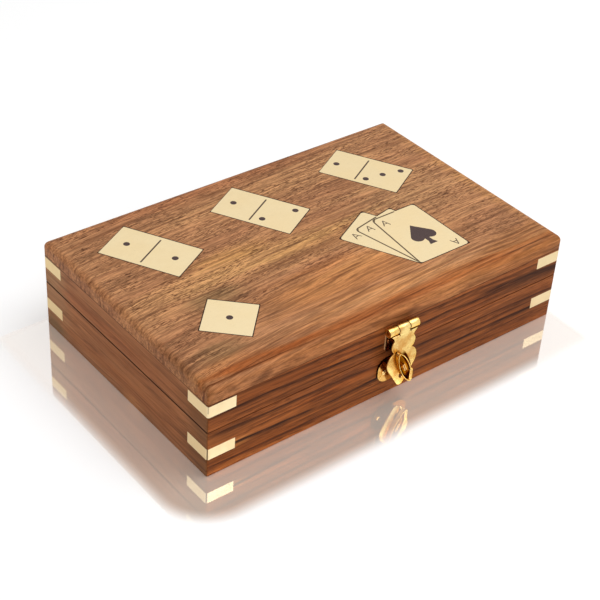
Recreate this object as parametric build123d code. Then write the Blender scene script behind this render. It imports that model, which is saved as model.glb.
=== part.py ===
from build123d import *
import math
import os

# A hinged wooden games box with flush brass inlays, corner straps and a brass hasp.
# X runs along the front, Y from the front to the back, Z up. Origin: bottom face, centre of the boards.
# All sizes are in millimetres.

# --- The wooden box ---
LENGTH = 203.2              # along the front
WIDTH = 129.3               # front to back
BASE_HEIGHT = 24.2          # floor to the seam under the lid
LID_HEIGHT = 22.2           # seam to the top
WALL = 8.0                  # thickness of the side boards
TOP_BOARD = 7.4             # thickness of the lid's top board
TOP_ROUND = 3.0             # rounding of the lid's top edges
CORNER_ROUND = 1.0          # rounding of the upright edges
SEAM_BEVEL = 0.35           # small bevel on both sides of the seam and under the base
FLOOR_PANEL = 4.0           # thickness of the base's floor panel
FLOOR_REBATE = 4.0          # how far the floor panel reaches under the boards
LINING = 1.0                # cloth-faced pads

# --- Inside the base ---
CARD_POCKET_DEPTH = 65.0    # front to back
DIVIDER = 5.0               # thickness of both partitions
DIVIDER_TOP_GAP = 2.2       # partitions stop this far below the seam
DIVIDER_HOUSING = 2.0       # how far a partition's ends are let into the boards

# --- Corner straps ---
STRAP_LEG = 14.2            # length along each face
STRAP_HEIGHT = 5.8
STRAP_THICKNESS = 1.2
LID_STRAP_RISE = 8.0        # seam to the lid strap's lower edge
BASE_STRAP_DROP = 9.0       # seam to the base strap's upper edge
STRAP_MITRE_GAP = 0.5       # dark line between the two legs of a base strap

# --- Inlays in the lid ---
INLAY_THICKNESS = 0.8
GLUE_LINE = 0.25            # dark filler round each plate
MARK_DEPTH = 0.3            # depth of the engraving and of its filling
DOMINO_LENGTH = 40.5
DOMINO_WIDTH = 23.7
DOMINO_TURN = -61.0         # angle of a domino's long side from X, degrees
DOMINO_ROW_Y = 30.7
DOMINO_LEFT_X = -66.0
DOMINO_MIDDLE_X = -4.4
DOMINO_RIGHT_X = 61.0
DIVIDER_MARK_LENGTH = 19.4  # line across the middle of a domino
MARK_WIDTH = 0.45
PIP_RADIUS = 1.55
SQUARE_SIDE = 22.5
SQUARE_X = -65.7
SQUARE_Y = -29.4
SQUARE_TURN = 45.5
PLATE_CORNER = 0.4          # slightly eased corners of the domino plates

# Places from a domino's centre: the dividing line along its long side, and pips along and across it.
LEFT_LINE = 0.0
LEFT_PIPS = [(-12.3, 0.0), (12.3, 0.0)]
MIDDLE_LINE = -1.3
MIDDLE_PIPS = [(-14.0, 0.0), (3.8, -6.3), (14.8, 7.6)]
RIGHT_LINE = -2.2
RIGHT_PIPS = [(-15.5, -0.7), (2.6, -7.1), (8.6, 0.6), (15.4, 8.0)]

# --- Fan of three cards ---
CARD_WIDTH = 26.2
BACK_CARD_HEIGHT = 40.0
MIDDLE_CARD_HEIGHT = 38.2
CARD_CORNER = 1.7
FAN_X = 30.2                # lower left corner that the cards turn about
FAN_Y = -44.6
BACK_CARD_TURN = 27.3
MIDDLE_CARD_TURN = 11.5
FRONT_CARD_WIDTH = 30.0     # the front card is drawn wider at the foot
FRONT_CARD_HEIGHT = 39.3
FRONT_CARD_LEAN = 4.0       # its upper left corner stands this far in
FAN_BORDER = 0.7            # the engraved lines stop this far inside the plate's edge
SPADE_X = 46.5
SPADE_Y = -28.3             # middle of the two lobes
SPADE_LOBE = 3.2            # radius of a lobe
SPADE_LOBE_SPREAD = 3.7     # from the middle to a lobe's centre
SPADE_TIP = 9.8             # lobe centres to the tip
SPADE_FOOT = 7.4            # lobe centres to the foot
SPADE_WAIST = 2.56          # lobe centres to where the foot begins
SPADE_NECK_HALF = 1.25
SPADE_FOOT_HALF = 2.3
LETTER_WIDTH = 3.6
LETTER_HEIGHT = 4.3
LETTER_STROKE = 0.5
# Letters near the fan's head: from its lower left corner along X, below its head, and turn in degrees.
HEAD_LETTERS = [(-10.6, 6.0, 13.65), (-1.2, 4.6, -5.75), (7.8, 5.2, -5.75)]
FOOT_LETTER_INSET = 4.6     # from the front card's right edge
FOOT_LETTER_RISE = 4.1      # from its foot

# --- Back hinges ---
HINGE_SPACING = 112.0       # between the two hinges' middles
HINGE_LENGTH = 22.0
HINGE_LEAF_DEPTH = 7.0      # how far a leaf reaches into the rim
HINGE_LEAF = 0.9            # leaf thickness
HINGE_BARREL = 1.8          # barrel radius
HINGE_PIN = 0.9             # pin radius
HINGE_MIDDLE_KNUCKLE = 8.0
LEAF_SINK = 0.1             # leaves lie this far below the rim
BARREL_STAND_OFF = 0.1      # from the back face to the barrel
SCREW_SPREAD = 7.5          # from a hinge's middle to each screw
SCREW_INSET = 3.8           # from the back face to the screws
SCREW_HEAD = 1.5
SCREW_SHANK = 0.8
SCREW_LENGTH = 5.0
SCREW_SLOT = 0.35

# --- Clasp ---
HASP_AXIS_RISE = 13.1       # seam to the barrel's axis
HASP_AXIS_OUT = 3.0         # front face to the barrel's axis
HASP_BARREL = 2.1           # barrel radius
HASP_PIN = 0.85             # pin radius
HASP_BARREL_LENGTH = 17.0
HASP_MIDDLE_KNUCKLE = 6.2
BRASS_SHEET = 0.8           # thickness of the mount leaf and the drop leaf
MOUNT_LEAF_WIDTH = 14.0
MOUNT_LEAF_BOTTOM = 1.1     # seam to the mount leaf's lower edge
MOUNT_LEAF_CORNER = 1.4
KNUCKLE_NOTCH = 0.3         # the mount leaf's notch clears the middle knuckle by this
MOUNT_NAIL_X = 5.1
MOUNT_NAIL_RISE = 6.4       # seam to the mount leaf's nails
HASP_OUT = 5.5              # front face to the drop leaf's front
HASP_LENGTH = 30.8          # barrel axis to the leaf's tip
HASP_WING_HALF = 7.6        # points of the wings
HASP_WING_DROP = 1.65       # barrel axis to the wings' upper edge
HASP_WING_HOLLOW = 0.5      # how far the wings' lower edges curve in
HASP_UPPER_LOBE = 4.15      # radius of the upper pair of lobes
HASP_UPPER_SPREAD = 2.75    # from the middle to their centres
HASP_UPPER_DROP = 7.85      # barrel axis to their centres
HASP_LOWER_LOBE = 6.5
HASP_LOWER_SPREAD = 2.1
HASP_LOWER_DROP = 17.1
HASP_TIP = 2.3              # radius of the rounded tip
EYE_DROP = 24.8             # barrel axis to the pierced eye's middle
EYE_WIDTH = 2.5
EYE_HEIGHT = 4.0
TURN_DROP = 6.5             # seam down to the turning shank
TURN_TILT = 24.0            # the loop leans left at rest, degrees from upright
LOOP_LENGTH = 20.2
LOOP_WIDTH = 5.6
LOOP_WALL = 0.9
LOOP_DEPTH = 2.2            # how far the loop stands out
LOOP_FLOOR = 0.6
TAB_WIDTH = 1.9
TAB_HEIGHT = 6.4
TAB_X = 4.2                 # middle of the loop's end tab, from the shank
TAB_DROP = 5.6
SHANK = 1.1                 # shank radius
SHANK_HEAD_LENGTH = 4.4
SHANK_HEAD_WIDTH = 1.3
SHANK_HEAD_HEIGHT = 1.1
COLLAR = 1.9                # collar behind the drop leaf
TONGUE_REACH = 4.5          # from the shank to the tongue's tip
TONGUE_HALF_WIDTH = 1.0
TONGUE_THICKNESS = 0.8
TONGUE_EYE = 1.9            # radius of the tongue's round middle
TONGUE_OUT = 1.9            # front face to the tongue's back
KEEPER_WIDTH = 20.0
KEEPER_HEIGHT = 12.8
KEEPER_CORNER = 5.5
KEEPER_PLATE = 1.0
KEEPER_DROP = 9.8           # seam to the keeper's middle
KEEPER_NAIL_X = 6.5
KEEPER_NAIL_DROP = 10.7     # seam to the keeper's nails
LUG_WALL = 1.0
LUG_START = 6.0             # the lugs' span above the level, degrees
LUG_END = 27.0
LIP_REACH = 1.4             # how far a lug's lip covers the tongue's tip
LIP_THICKNESS = 0.7
NAIL_HEAD = 1.15
NAIL_HEAD_HEIGHT = 0.5
NAIL_HEAD_ROUND = 0.4
NAIL_SHANK = 0.5
NAIL_LENGTH = 5.5

# --- Clearances ---
RUNNING = 0.05              # radial, between a turning piece and its pin
SNUG = 0.02                 # radial, between a pin and the knuckles that hold it
SIDE_PLAY = 0.2             # along a barrel, between knuckles
FACE_PLAY = 0.1             # between flat faces that turn against each other
TONGUE_PLAY = 0.3           # tongue to the lugs and their lips

# --- Values that follow from these ---
HEIGHT = BASE_HEIGHT + LID_HEIGHT
SEAM = BASE_HEIGHT
HALF_L = LENGTH / 2
HALF_W = WIDTH / 2
INNER_HALF_L = HALF_L - WALL
INNER_HALF_W = HALF_W - WALL
UNDER_TOP = HEIGHT - TOP_BOARD
FLOOR_TOP = FLOOR_PANEL
PARTITION_TOP = SEAM - DIVIDER_TOP_GAP
PARTITION_FRONT = CARD_POCKET_DEPTH - INNER_HALF_W
PARTITION_BACK = PARTITION_FRONT + DIVIDER
HINGE_Y = HALF_W + BARREL_STAND_OFF + HINGE_BARREL
HASP_Z = SEAM + HASP_AXIS_RISE
TURN_Z = SEAM - TURN_DROP
LEAF_BACK = HASP_OUT - BRASS_SHEET
LOOP_BACK = HASP_OUT + FACE_PLAY
TONGUE_FRONT = TONGUE_OUT + TONGUE_THICKNESS

BOARD_SIDES = ("front", "back", "left", "right")
CORNERS = {"front_left": (-1, -1), "front_right": (1, -1), "back_left": (-1, 1), "back_right": (1, 1)}
HINGE_SIDES = {"left": -1, "right": 1}

PARTS = {}


# --- Helpers ---

def block(x0, x1, y0, y1, z0, z1):
    """A plain block between two corners."""
    middle = Pos((x0 + x1) / 2, (y0 + y1) / 2, (z0 + z1) / 2)
    return middle * Box(abs(x1 - x0), abs(y1 - y0), abs(z1 - z0))


def rod_x(radius, length, x, y, z):
    """A round rod along X, centred on the given point."""
    return Pos(x, y, z) * Rot(0, 90, 0) * Cylinder(radius, length)


def rod_y(radius, near, far, x, z):
    """A round rod along Y in front of the box, from near to far mm off the front face."""
    middle_y = -HALF_W - (near + far) / 2
    return Pos(x, middle_y, z) * Rot(90, 0, 0) * Cylinder(radius, far - near)


def front_plate(outline, out, thickness):
    """An outline drawn in X and Z, made a plate that starts out mm off the front face."""
    return extrude(Plane.XZ.offset(HALF_W + out) * outline, thickness)


def lid_plate(outline, depth):
    """An outline drawn on the lid's top, made a plate flush with it."""
    return extrude(Pos(0, 0, HEIGHT - depth) * outline, depth)


def bar_between(start, end, width):
    """A flat bar from one point to another."""
    dx, dy = end[0] - start[0], end[1] - start[1]
    middle = Pos((start[0] + end[0]) / 2, (start[1] + end[1]) / 2)
    return middle * Rot(0, 0, math.degrees(math.atan2(dy, dx))) * Rectangle(math.hypot(dx, dy), width)


# --- Wooden shells ---

def base_form():
    """Outer shape of the base: rounded upright edges, small bevels above and below."""
    form = block(-HALF_L, HALF_L, -HALF_W, HALF_W, 0, SEAM)
    form = fillet(form.edges().filter_by(Axis.Z), CORNER_ROUND)
    levels = form.edges().group_by(Axis.Z)
    return chamfer(levels[0] + levels[-1], SEAM_BEVEL)


def lid_form():
    """Outer shape of the lid: as the base, with its top edges well rounded."""
    form = block(-HALF_L, HALF_L, -HALF_W, HALF_W, SEAM, HEIGHT)
    form = fillet(form.edges().filter_by(Axis.Z), CORNER_ROUND)
    form = chamfer(form.edges().group_by(Axis.Z)[0], SEAM_BEVEL)
    return fillet(form.edges().group_by(Axis.Z)[-1], TOP_ROUND)


def board_outline(side):
    """Plan of one mitred board of the frame."""
    outer = {(sx, sy): (sx * HALF_L, sy * HALF_W) for sx, sy in CORNERS.values()}
    inner = {(sx, sy): (sx * INNER_HALF_L, sy * INNER_HALF_W) for sx, sy in CORNERS.values()}
    ends = {
        "front": ((-1, -1), (1, -1)),
        "back": ((1, 1), (-1, 1)),
        "left": ((-1, 1), (-1, -1)),
        "right": ((1, -1), (1, 1)),
    }[side]
    return Polygon(outer[ends[0]], outer[ends[1]], inner[ends[1]], inner[ends[0]], align=None)


def corner_band(sx, sy, low):
    """L-shaped band round one corner, from the faces to the strap's thickness."""
    x, y = sx * HALF_L, sy * HALF_W
    whole = block(x - sx * STRAP_LEG, x, y - sy * STRAP_LEG, y, low, low + STRAP_HEIGHT)
    inside = block(
        x - sx * STRAP_LEG, x - sx * STRAP_THICKNESS,
        y - sy * STRAP_LEG, y - sy * STRAP_THICKNESS, low, low + STRAP_HEIGHT)
    return whole - inside


def mitre_slit(sx, sy, low):
    """Thin upright slit on a corner's mitre line."""
    reach = 4 * STRAP_THICKNESS
    slit = Box(reach, STRAP_MITRE_GAP, STRAP_HEIGHT)
    return Pos(sx * HALF_L, sy * HALF_W, low + STRAP_HEIGHT / 2) * Rot(0, 0, 45 * sx * sy) * slit


def make_frame(name, form, low, high, cuts):
    """The four mitred boards of the base or the lid, with everything let into them cut away."""
    for side in BOARD_SIDES:
        board = extrude(Pos(0, 0, low) * board_outline(side), high - low) & form
        for cut in cuts:
            board = board - cut
        PARTS[f"{name}_{side}_board"] = board


# --- Inside of the base ---

def floor_panel():
    """Panel in the rebate under the boards."""
    half_x, half_y = INNER_HALF_L + FLOOR_REBATE, INNER_HALF_W + FLOOR_REBATE
    return block(-half_x, half_x, -half_y, half_y, 0, FLOOR_PANEL)


def long_divider():
    """Partition in front of the domino trough, let into the side boards."""
    half = INNER_HALF_L + DIVIDER_HOUSING
    return block(-half, half, PARTITION_FRONT, PARTITION_BACK, FLOOR_TOP, PARTITION_TOP)


def short_divider():
    """Partition between the two card pockets, let into the front board."""
    front = -INNER_HALF_W - DIVIDER_HOUSING
    return block(-DIVIDER / 2, DIVIDER / 2, front, PARTITION_FRONT, FLOOR_TOP, PARTITION_TOP)


def make_linings():
    """Cloth-faced pads: one in each space of the base, and one under the lid's top board."""
    top = FLOOR_TOP + LINING
    pocket = (-INNER_HALF_W, PARTITION_FRONT, FLOOR_TOP, top)
    PARTS["domino_trough_lining"] = block(
        -INNER_HALF_L, INNER_HALF_L, PARTITION_BACK, INNER_HALF_W, FLOOR_TOP, top)
    PARTS["card_pocket_left_lining"] = block(-INNER_HALF_L, -DIVIDER / 2, *pocket)
    PARTS["card_pocket_right_lining"] = block(DIVIDER / 2, INNER_HALF_L, *pocket)
    PARTS["lid_lining"] = block(
        -INNER_HALF_L, INNER_HALF_L, -INNER_HALF_W, INNER_HALF_W, UNDER_TOP - LINING, UNDER_TOP)


# --- Inlays ---

def domino_place(x):
    """Where one domino plate lies on the lid."""
    return Pos(x, DOMINO_ROW_Y) * Rot(0, 0, DOMINO_TURN)


def domino_outline(x):
    """Outline of one domino plate."""
    return domino_place(x) * RectangleRounded(DOMINO_LENGTH, DOMINO_WIDTH, PLATE_CORNER)


def domino_engraving(x, line, pips):
    """Dividing line and pips of one domino."""
    marks = [domino_place(x) * Pos(line, 0) * Rectangle(MARK_WIDTH, DIVIDER_MARK_LENGTH)]
    marks += [domino_place(x) * Pos(along, across) * Circle(PIP_RADIUS) for along, across in pips]
    return marks


def square_outline():
    """Outline of the single square plate."""
    square = RectangleRounded(SQUARE_SIDE, SQUARE_SIDE, PLATE_CORNER)
    return Pos(SQUARE_X, SQUARE_Y) * Rot(0, 0, SQUARE_TURN) * square


def turned_card(height, turn):
    """A card turned about the fan's lower left corner."""
    card = Pos(CARD_WIDTH / 2, height / 2) * RectangleRounded(CARD_WIDTH, height, CARD_CORNER)
    return Pos(FAN_X, FAN_Y) * Rot(0, 0, turn) * card


def front_card():
    """The card on top of the fan, a little narrower at its head."""
    card = Polygon(
        (0, 0), (FRONT_CARD_WIDTH, 0), (FRONT_CARD_WIDTH, FRONT_CARD_HEIGHT),
        (FRONT_CARD_LEAN, FRONT_CARD_HEIGHT), align=None)
    return Pos(FAN_X, FAN_Y) * fillet(card.vertices(), CARD_CORNER)


def edge_line(card):
    """Engraved line that follows a card's edge."""
    return offset(card, MARK_WIDTH / 2) - offset(card, -MARK_WIDTH / 2)


def fan_lines(fan, middle, front):
    """Edges of the middle and front cards where they lie on the fan."""
    inside = offset(fan, -FAN_BORDER)
    return (edge_line(front) & inside) + ((edge_line(middle) & inside) - offset(front, MARK_WIDTH / 2))


def spade_outline():
    """A spade: two round lobes, straight shoulders that touch them, and a flared foot."""
    to_tip = math.hypot(SPADE_LOBE_SPREAD, SPADE_TIP)
    slope = math.atan2(SPADE_TIP, SPADE_LOBE_SPREAD) - math.asin(SPADE_LOBE / to_tip)
    shoulder = math.sqrt(to_tip ** 2 - SPADE_LOBE ** 2)
    touch = (shoulder * math.cos(slope), SPADE_TIP - shoulder * math.sin(slope))
    neck = -SPADE_WAIST
    body = Polygon(
        (0, SPADE_TIP), (-touch[0], touch[1]), (-SPADE_LOBE_SPREAD, neck), (SPADE_LOBE_SPREAD, neck),
        touch, align=None)
    foot = Polygon(
        (-SPADE_NECK_HALF, neck + SPADE_LOBE / 2), (-SPADE_NECK_HALF, (neck - SPADE_FOOT) / 2),
        (-SPADE_FOOT_HALF, -SPADE_FOOT), (SPADE_FOOT_HALF, -SPADE_FOOT),
        (SPADE_NECK_HALF, (neck - SPADE_FOOT) / 2), (SPADE_NECK_HALF, neck + SPADE_LOBE / 2), align=None)
    spade = body + foot
    for sx in (-1, 1):
        spade = spade + Pos(sx * SPADE_LOBE_SPREAD, 0) * Circle(SPADE_LOBE)
    return Pos(SPADE_X, SPADE_Y) * spade


def index_letter(x, y, turn):
    """The letter of an ace, drawn with three strokes."""
    apex, foot = (0, LETTER_HEIGHT / 2), LETTER_WIDTH / 2
    bar_height = -LETTER_HEIGHT / 8
    letter = bar_between((-foot, -LETTER_HEIGHT / 2), apex, LETTER_STROKE)
    letter += bar_between((foot, -LETTER_HEIGHT / 2), apex, LETTER_STROKE)
    letter += bar_between((-foot / 2, bar_height), (foot / 2, bar_height), LETTER_STROKE)
    return Pos(x, y) * Rot(0, 0, turn) * letter


def make_inlays():
    """Brass plates with their dark fillings. Returns the pockets for the top board."""
    dominoes = {
        "left": (DOMINO_LEFT_X, LEFT_LINE, LEFT_PIPS),
        "middle": (DOMINO_MIDDLE_X, MIDDLE_LINE, MIDDLE_PIPS),
        "right": (DOMINO_RIGHT_X, RIGHT_LINE, RIGHT_PIPS),
    }
    back = turned_card(BACK_CARD_HEIGHT, BACK_CARD_TURN)
    middle = turned_card(MIDDLE_CARD_HEIGHT, MIDDLE_CARD_TURN)
    front = front_card()
    fan = back + middle + front
    head_y = FAN_Y + FRONT_CARD_HEIGHT
    letters = [index_letter(FAN_X + along, head_y - drop, turn) for along, drop, turn in HEAD_LETTERS]
    letters.append(index_letter(
        FAN_X + FRONT_CARD_WIDTH - FOOT_LETTER_INSET, FAN_Y + FOOT_LETTER_RISE, 180))
    plates = {}
    for side, (x, line, pips) in dominoes.items():
        plates[f"domino_inlay_{side}"] = (domino_outline(x), domino_engraving(x, line, pips))
    plates["square_inlay"] = (square_outline(), [Pos(SQUARE_X, SQUARE_Y) * Circle(PIP_RADIUS)])
    plates["card_fan_inlay"] = (fan, [fan_lines(fan, middle, front), spade_outline()] + letters)

    pockets, fillers = [], []
    for name, (outline, engraving) in plates.items():
        plate = lid_plate(outline, INLAY_THICKNESS)
        pocket = lid_plate(offset(outline, GLUE_LINE), INLAY_THICKNESS)
        fillers.append(pocket - plate)
        pockets.append(pocket)
        for mark in engraving:
            plate = plate - lid_plate(mark, MARK_DEPTH)
        PARTS[name] = plate
    PARTS["inlay_filler"] = Compound(children=fillers)

    domino_marks = [mark for side in dominoes for mark in plates[f"domino_inlay_{side}"][1]]
    fillings = {
        "domino_marks": domino_marks,
        "square_mark": plates["square_inlay"][1],
        "card_lines": [fan_lines(fan, middle, front)],
        "card_spade": [spade_outline()],
        "card_letters": letters,
    }
    for name, marks in fillings.items():
        PARTS[name] = Compound(children=[lid_plate(mark, MARK_DEPTH) for mark in marks])
    return pockets


# --- Hinges ---

def screw(x, direction):
    """Countersunk slotted screw in a hinge leaf: direction 1 is driven down, -1 up."""
    head_height = SCREW_HEAD - SCREW_SHANK
    shank_length = SCREW_LENGTH - head_height
    body = Pos(0, 0, -head_height / 2) * Cone(SCREW_SHANK, SCREW_HEAD, head_height)
    body += Pos(0, 0, -head_height - shank_length / 2) * Cylinder(SCREW_SHANK, shank_length)
    slot = Pos(0, 0, -SCREW_SLOT / 2) * Box(2 * SCREW_HEAD, SCREW_SLOT, SCREW_SLOT)
    flip = Rot(0, 0, 0) if direction > 0 else Rot(180, 0, 0)
    place = Pos(x, HALF_W - SCREW_INSET, SEAM - direction * LEAF_SINK)
    return place * flip * body, place * flip * slot


def hinge_leaf(x, direction):
    """A leaf let into the rim: direction 1 is the base's, with the outer knuckles, -1 the lid's."""
    top = SEAM - direction * LEAF_SINK
    bottom = top - direction * HINGE_LEAF
    half = HINGE_LENGTH / 2
    plate = block(x - half, x + half, HALF_W - HINGE_LEAF_DEPTH, HALF_W, bottom, top)
    middle_half = HINGE_MIDDLE_KNUCKLE / 2
    if direction > 0:
        spans = [(-half, -middle_half - SIDE_PLAY), (middle_half + SIDE_PLAY, half)]
        bore = HINGE_PIN + SNUG
    else:
        spans = [(-middle_half, middle_half)]
        bore = HINGE_PIN + RUNNING
    for start, end in spans:
        web = block(x + start, x + end, HALF_W, HINGE_Y, bottom, top)
        knuckle = rod_x(HINGE_BARREL, end - start, x + (start + end) / 2, HINGE_Y, SEAM)
        plate = plate + web + knuckle
    return plate - rod_x(bore, 2 * HINGE_LENGTH, x, HINGE_Y, SEAM)


def make_hinges():
    """Both butt hinges. Returns what is cut from the base's and the lid's boards."""
    cuts = {1: [], -1: []}
    screws = {1: [], -1: []}
    half = HINGE_LENGTH / 2
    for side, sx in HINGE_SIDES.items():
        x = sx * HINGE_SPACING / 2
        for direction, body in ((1, "base"), (-1, "lid")):
            leaf = hinge_leaf(x, direction)
            depth = LEAF_SINK + HINGE_LEAF
            cuts[direction].append(block(
                x - half, x + half, HALF_W - HINGE_LEAF_DEPTH, HALF_W, SEAM - direction * depth, SEAM))
            for screw_x in (x - SCREW_SPREAD, x + SCREW_SPREAD):
                solid, slot = screw(screw_x, direction)
                leaf = leaf - solid
                cuts[direction].append(solid)
                screws[direction].append(solid - slot)
            PARTS[f"{side}_hinge_{body}_leaf"] = leaf
        PARTS[f"{side}_hinge_pin"] = rod_x(HINGE_PIN, HINGE_LENGTH, x, HINGE_Y, SEAM)
    PARTS["hinge_base_screws"] = Compound(children=screws[1])
    PARTS["hinge_lid_screws"] = Compound(children=screws[-1])
    return cuts[1], cuts[-1]


# --- Clasp ---

def nail(x, z, out):
    """Round-headed nail driven into the front, its head seated out mm off the face."""
    head = rod_y(NAIL_HEAD, out, out + NAIL_HEAD_HEIGHT, x, z)
    head = fillet(head.edges().sort_by(Axis.Y)[0], NAIL_HEAD_ROUND)
    return head + rod_y(NAIL_SHANK, out - NAIL_LENGTH, out, x, z)


def hasp_rod(radius, length, x):
    """A round rod on the clasp's barrel axis."""
    return rod_x(radius, length, x, -HALF_W - HASP_AXIS_OUT, HASP_Z)


def mount_leaf():
    """Leaf on the lid's front with the two outer knuckles of the barrel."""
    low = SEAM + MOUNT_LEAF_BOTTOM
    outline = Pos(0, (low + HASP_Z) / 2) * Rectangle(MOUNT_LEAF_WIDTH, HASP_Z - low)
    outline = fillet(outline.vertices().group_by(Axis.Y)[0], MOUNT_LEAF_CORNER)
    inner = HASP_MIDDLE_KNUCKLE / 2 + SIDE_PLAY
    notch = Pos(0, HASP_Z) * Rectangle(2 * inner, 2 * (HASP_BARREL + KNUCKLE_NOTCH))
    leaf = front_plate(outline - notch, 0, BRASS_SHEET)
    barrel_half, leaf_half = HASP_BARREL_LENGTH / 2, MOUNT_LEAF_WIDTH / 2
    for sx in (-1, 1):
        web = Pos(sx * (leaf_half + inner) / 2, HASP_Z - HASP_BARREL / 2) * Rectangle(
            leaf_half - inner, HASP_BARREL)
        leaf += front_plate(web, 0, HASP_AXIS_OUT)
        leaf += hasp_rod(HASP_BARREL, barrel_half - inner, sx * (barrel_half + inner) / 2)
    return leaf - hasp_rod(HASP_PIN + SNUG, 2 * HASP_BARREL_LENGTH, 0)


def round_pair(radius, spread, drop):
    """Two equal circles side by side below the barrel's axis."""
    return [Pos(sx * spread, HASP_Z - drop) * Circle(radius) for sx in (-1, 1)]


def drop_leaf_outline():
    """Scalloped outline of the drop leaf: pointed wings, two pairs of round lobes and a rounded tip."""
    upper = round_pair(HASP_UPPER_LOBE, HASP_UPPER_SPREAD, HASP_UPPER_DROP)
    lower = round_pair(HASP_LOWER_LOBE, HASP_LOWER_SPREAD, HASP_LOWER_DROP)
    tip = Pos(0, HASP_Z - HASP_LENGTH + HASP_TIP) * Circle(HASP_TIP)
    outline = make_hull(lower[0].edges() + lower[1].edges() + tip.edges())
    outline += make_hull(upper[0].edges() + upper[1].edges())

    wing = (HASP_WING_HALF, HASP_Z - HASP_WING_DROP)
    slant = HASP_UPPER_LOBE / math.sqrt(2)
    neck = (HASP_UPPER_SPREAD + slant, HASP_Z - HASP_UPPER_DROP + slant)
    hollow = ((wing[0] + neck[0]) / 2 - HASP_WING_HOLLOW, (wing[1] + neck[1]) / 2)
    middle = (0, neck[1])
    head = Curve() + [
        Line((0, wing[1]), wing), ThreePointArc(wing, hollow, neck), Line(neck, middle), Line(middle, (0, wing[1]))]
    right = make_face(head)
    knuckle_half = HASP_MIDDLE_KNUCKLE / 2
    strip = Pos(0, HASP_Z - HASP_WING_DROP / 2) * Rectangle(2 * knuckle_half, HASP_WING_DROP)
    return outline + right + mirror(right, Plane.YZ) + strip


def drop_leaf():
    """The leaf that hangs from the pin: middle knuckle, bore for the shank and a pierced eye."""
    leaf = front_plate(drop_leaf_outline(), LEAF_BACK, BRASS_SHEET)
    leaf += hasp_rod(HASP_BARREL, HASP_MIDDLE_KNUCKLE, 0)
    leaf -= hasp_rod(HASP_PIN + RUNNING, 2 * HASP_BARREL_LENGTH, 0)
    leaf -= rod_y(SHANK + RUNNING, 0, 2 * HASP_OUT, 0, TURN_Z)
    eye = Pos(0, HASP_Z - EYE_DROP) * Rot(0, 0, 90) * SlotOverall(EYE_HEIGHT, EYE_WIDTH)
    return leaf - front_plate(eye, 0, 2 * HASP_OUT)


def turn_loop():
    """Long oval thumb loop: a thin upright wall round a floor, with a tab at its lower end."""
    place = Pos(0, TURN_Z) * Rot(0, 0, TURN_TILT)
    outer = place * Ellipse(LOOP_WIDTH / 2, LOOP_LENGTH / 2)
    inner = place * Ellipse(LOOP_WIDTH / 2 - LOOP_WALL, LOOP_LENGTH / 2 - LOOP_WALL)
    tab = Pos(TAB_X, TURN_Z - TAB_DROP) * RectangleRounded(TAB_WIDTH, TAB_HEIGHT, TAB_WIDTH / 4)
    loop = front_plate(outer + tab, LOOP_BACK, LOOP_DEPTH)
    hollow = front_plate(inner - tab, LOOP_BACK + LOOP_FLOOR, LOOP_DEPTH)
    return loop - hollow - rod_y(SHANK, 0, 2 * HASP_OUT, 0, TURN_Z)


def turn_shank():
    """Shank through the drop leaf: a collar behind the leaf and a long peened head in the loop."""
    shank = rod_y(SHANK, TONGUE_OUT, LOOP_BACK + LOOP_FLOOR, 0, TURN_Z)
    shank += rod_y(COLLAR, TONGUE_FRONT, LEAF_BACK - FACE_PLAY, 0, TURN_Z)
    head = Rot(0, 0, TURN_TILT) * RectangleRounded(
        SHANK_HEAD_WIDTH, SHANK_HEAD_LENGTH, SHANK_HEAD_WIDTH / 3)
    return shank + front_plate(Pos(0, TURN_Z) * head, LOOP_BACK + LOOP_FLOOR, SHANK_HEAD_HEIGHT)


def turn_tongue():
    """Flat tongue on the shank's end, in line with the loop."""
    bar = SlotOverall(2 * TONGUE_REACH, 2 * TONGUE_HALF_WIDTH)
    outline = Pos(0, TURN_Z) * (Rot(0, 0, 90 + TURN_TILT) * bar + Circle(TONGUE_EYE))
    return front_plate(outline, TONGUE_OUT, TONGUE_THICKNESS) - rod_y(SHANK, 0, LEAF_BACK, 0, TURN_Z)


def ring_sector(inner, outer, start, end):
    """Part of a flat ring round the shank, between two angles from +X."""
    ring = Circle(outer) - Circle(inner)
    far = 2 * outer
    rays = [(far * math.cos(math.radians(a)), far * math.sin(math.radians(a))) for a in (start, end)]
    return ring & Polygon((0, 0), rays[0], rays[1], align=None)


def keeper():
    """Plate on the base's front with two hooked lugs that the level tongue lies under."""
    plate_z = SEAM - KEEPER_DROP
    plate = front_plate(
        Pos(0, plate_z) * RectangleRounded(KEEPER_WIDTH, KEEPER_HEIGHT, KEEPER_CORNER), 0, KEEPER_PLATE)
    wall_in = TONGUE_REACH + TONGUE_PLAY
    wall_out = wall_in + LUG_WALL
    lip_out = TONGUE_FRONT + TONGUE_PLAY
    for start, end in ((LUG_START, LUG_END), (180 - LUG_END, 180 - LUG_START)):
        wall = Pos(0, TURN_Z) * ring_sector(wall_in, wall_out, start, end)
        lip = Pos(0, TURN_Z) * ring_sector(wall_in - LIP_REACH, wall_out, start, end)
        plate += front_plate(wall, KEEPER_PLATE, lip_out - KEEPER_PLATE)
        plate += front_plate(lip, lip_out, LIP_THICKNESS)
    return plate


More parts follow.
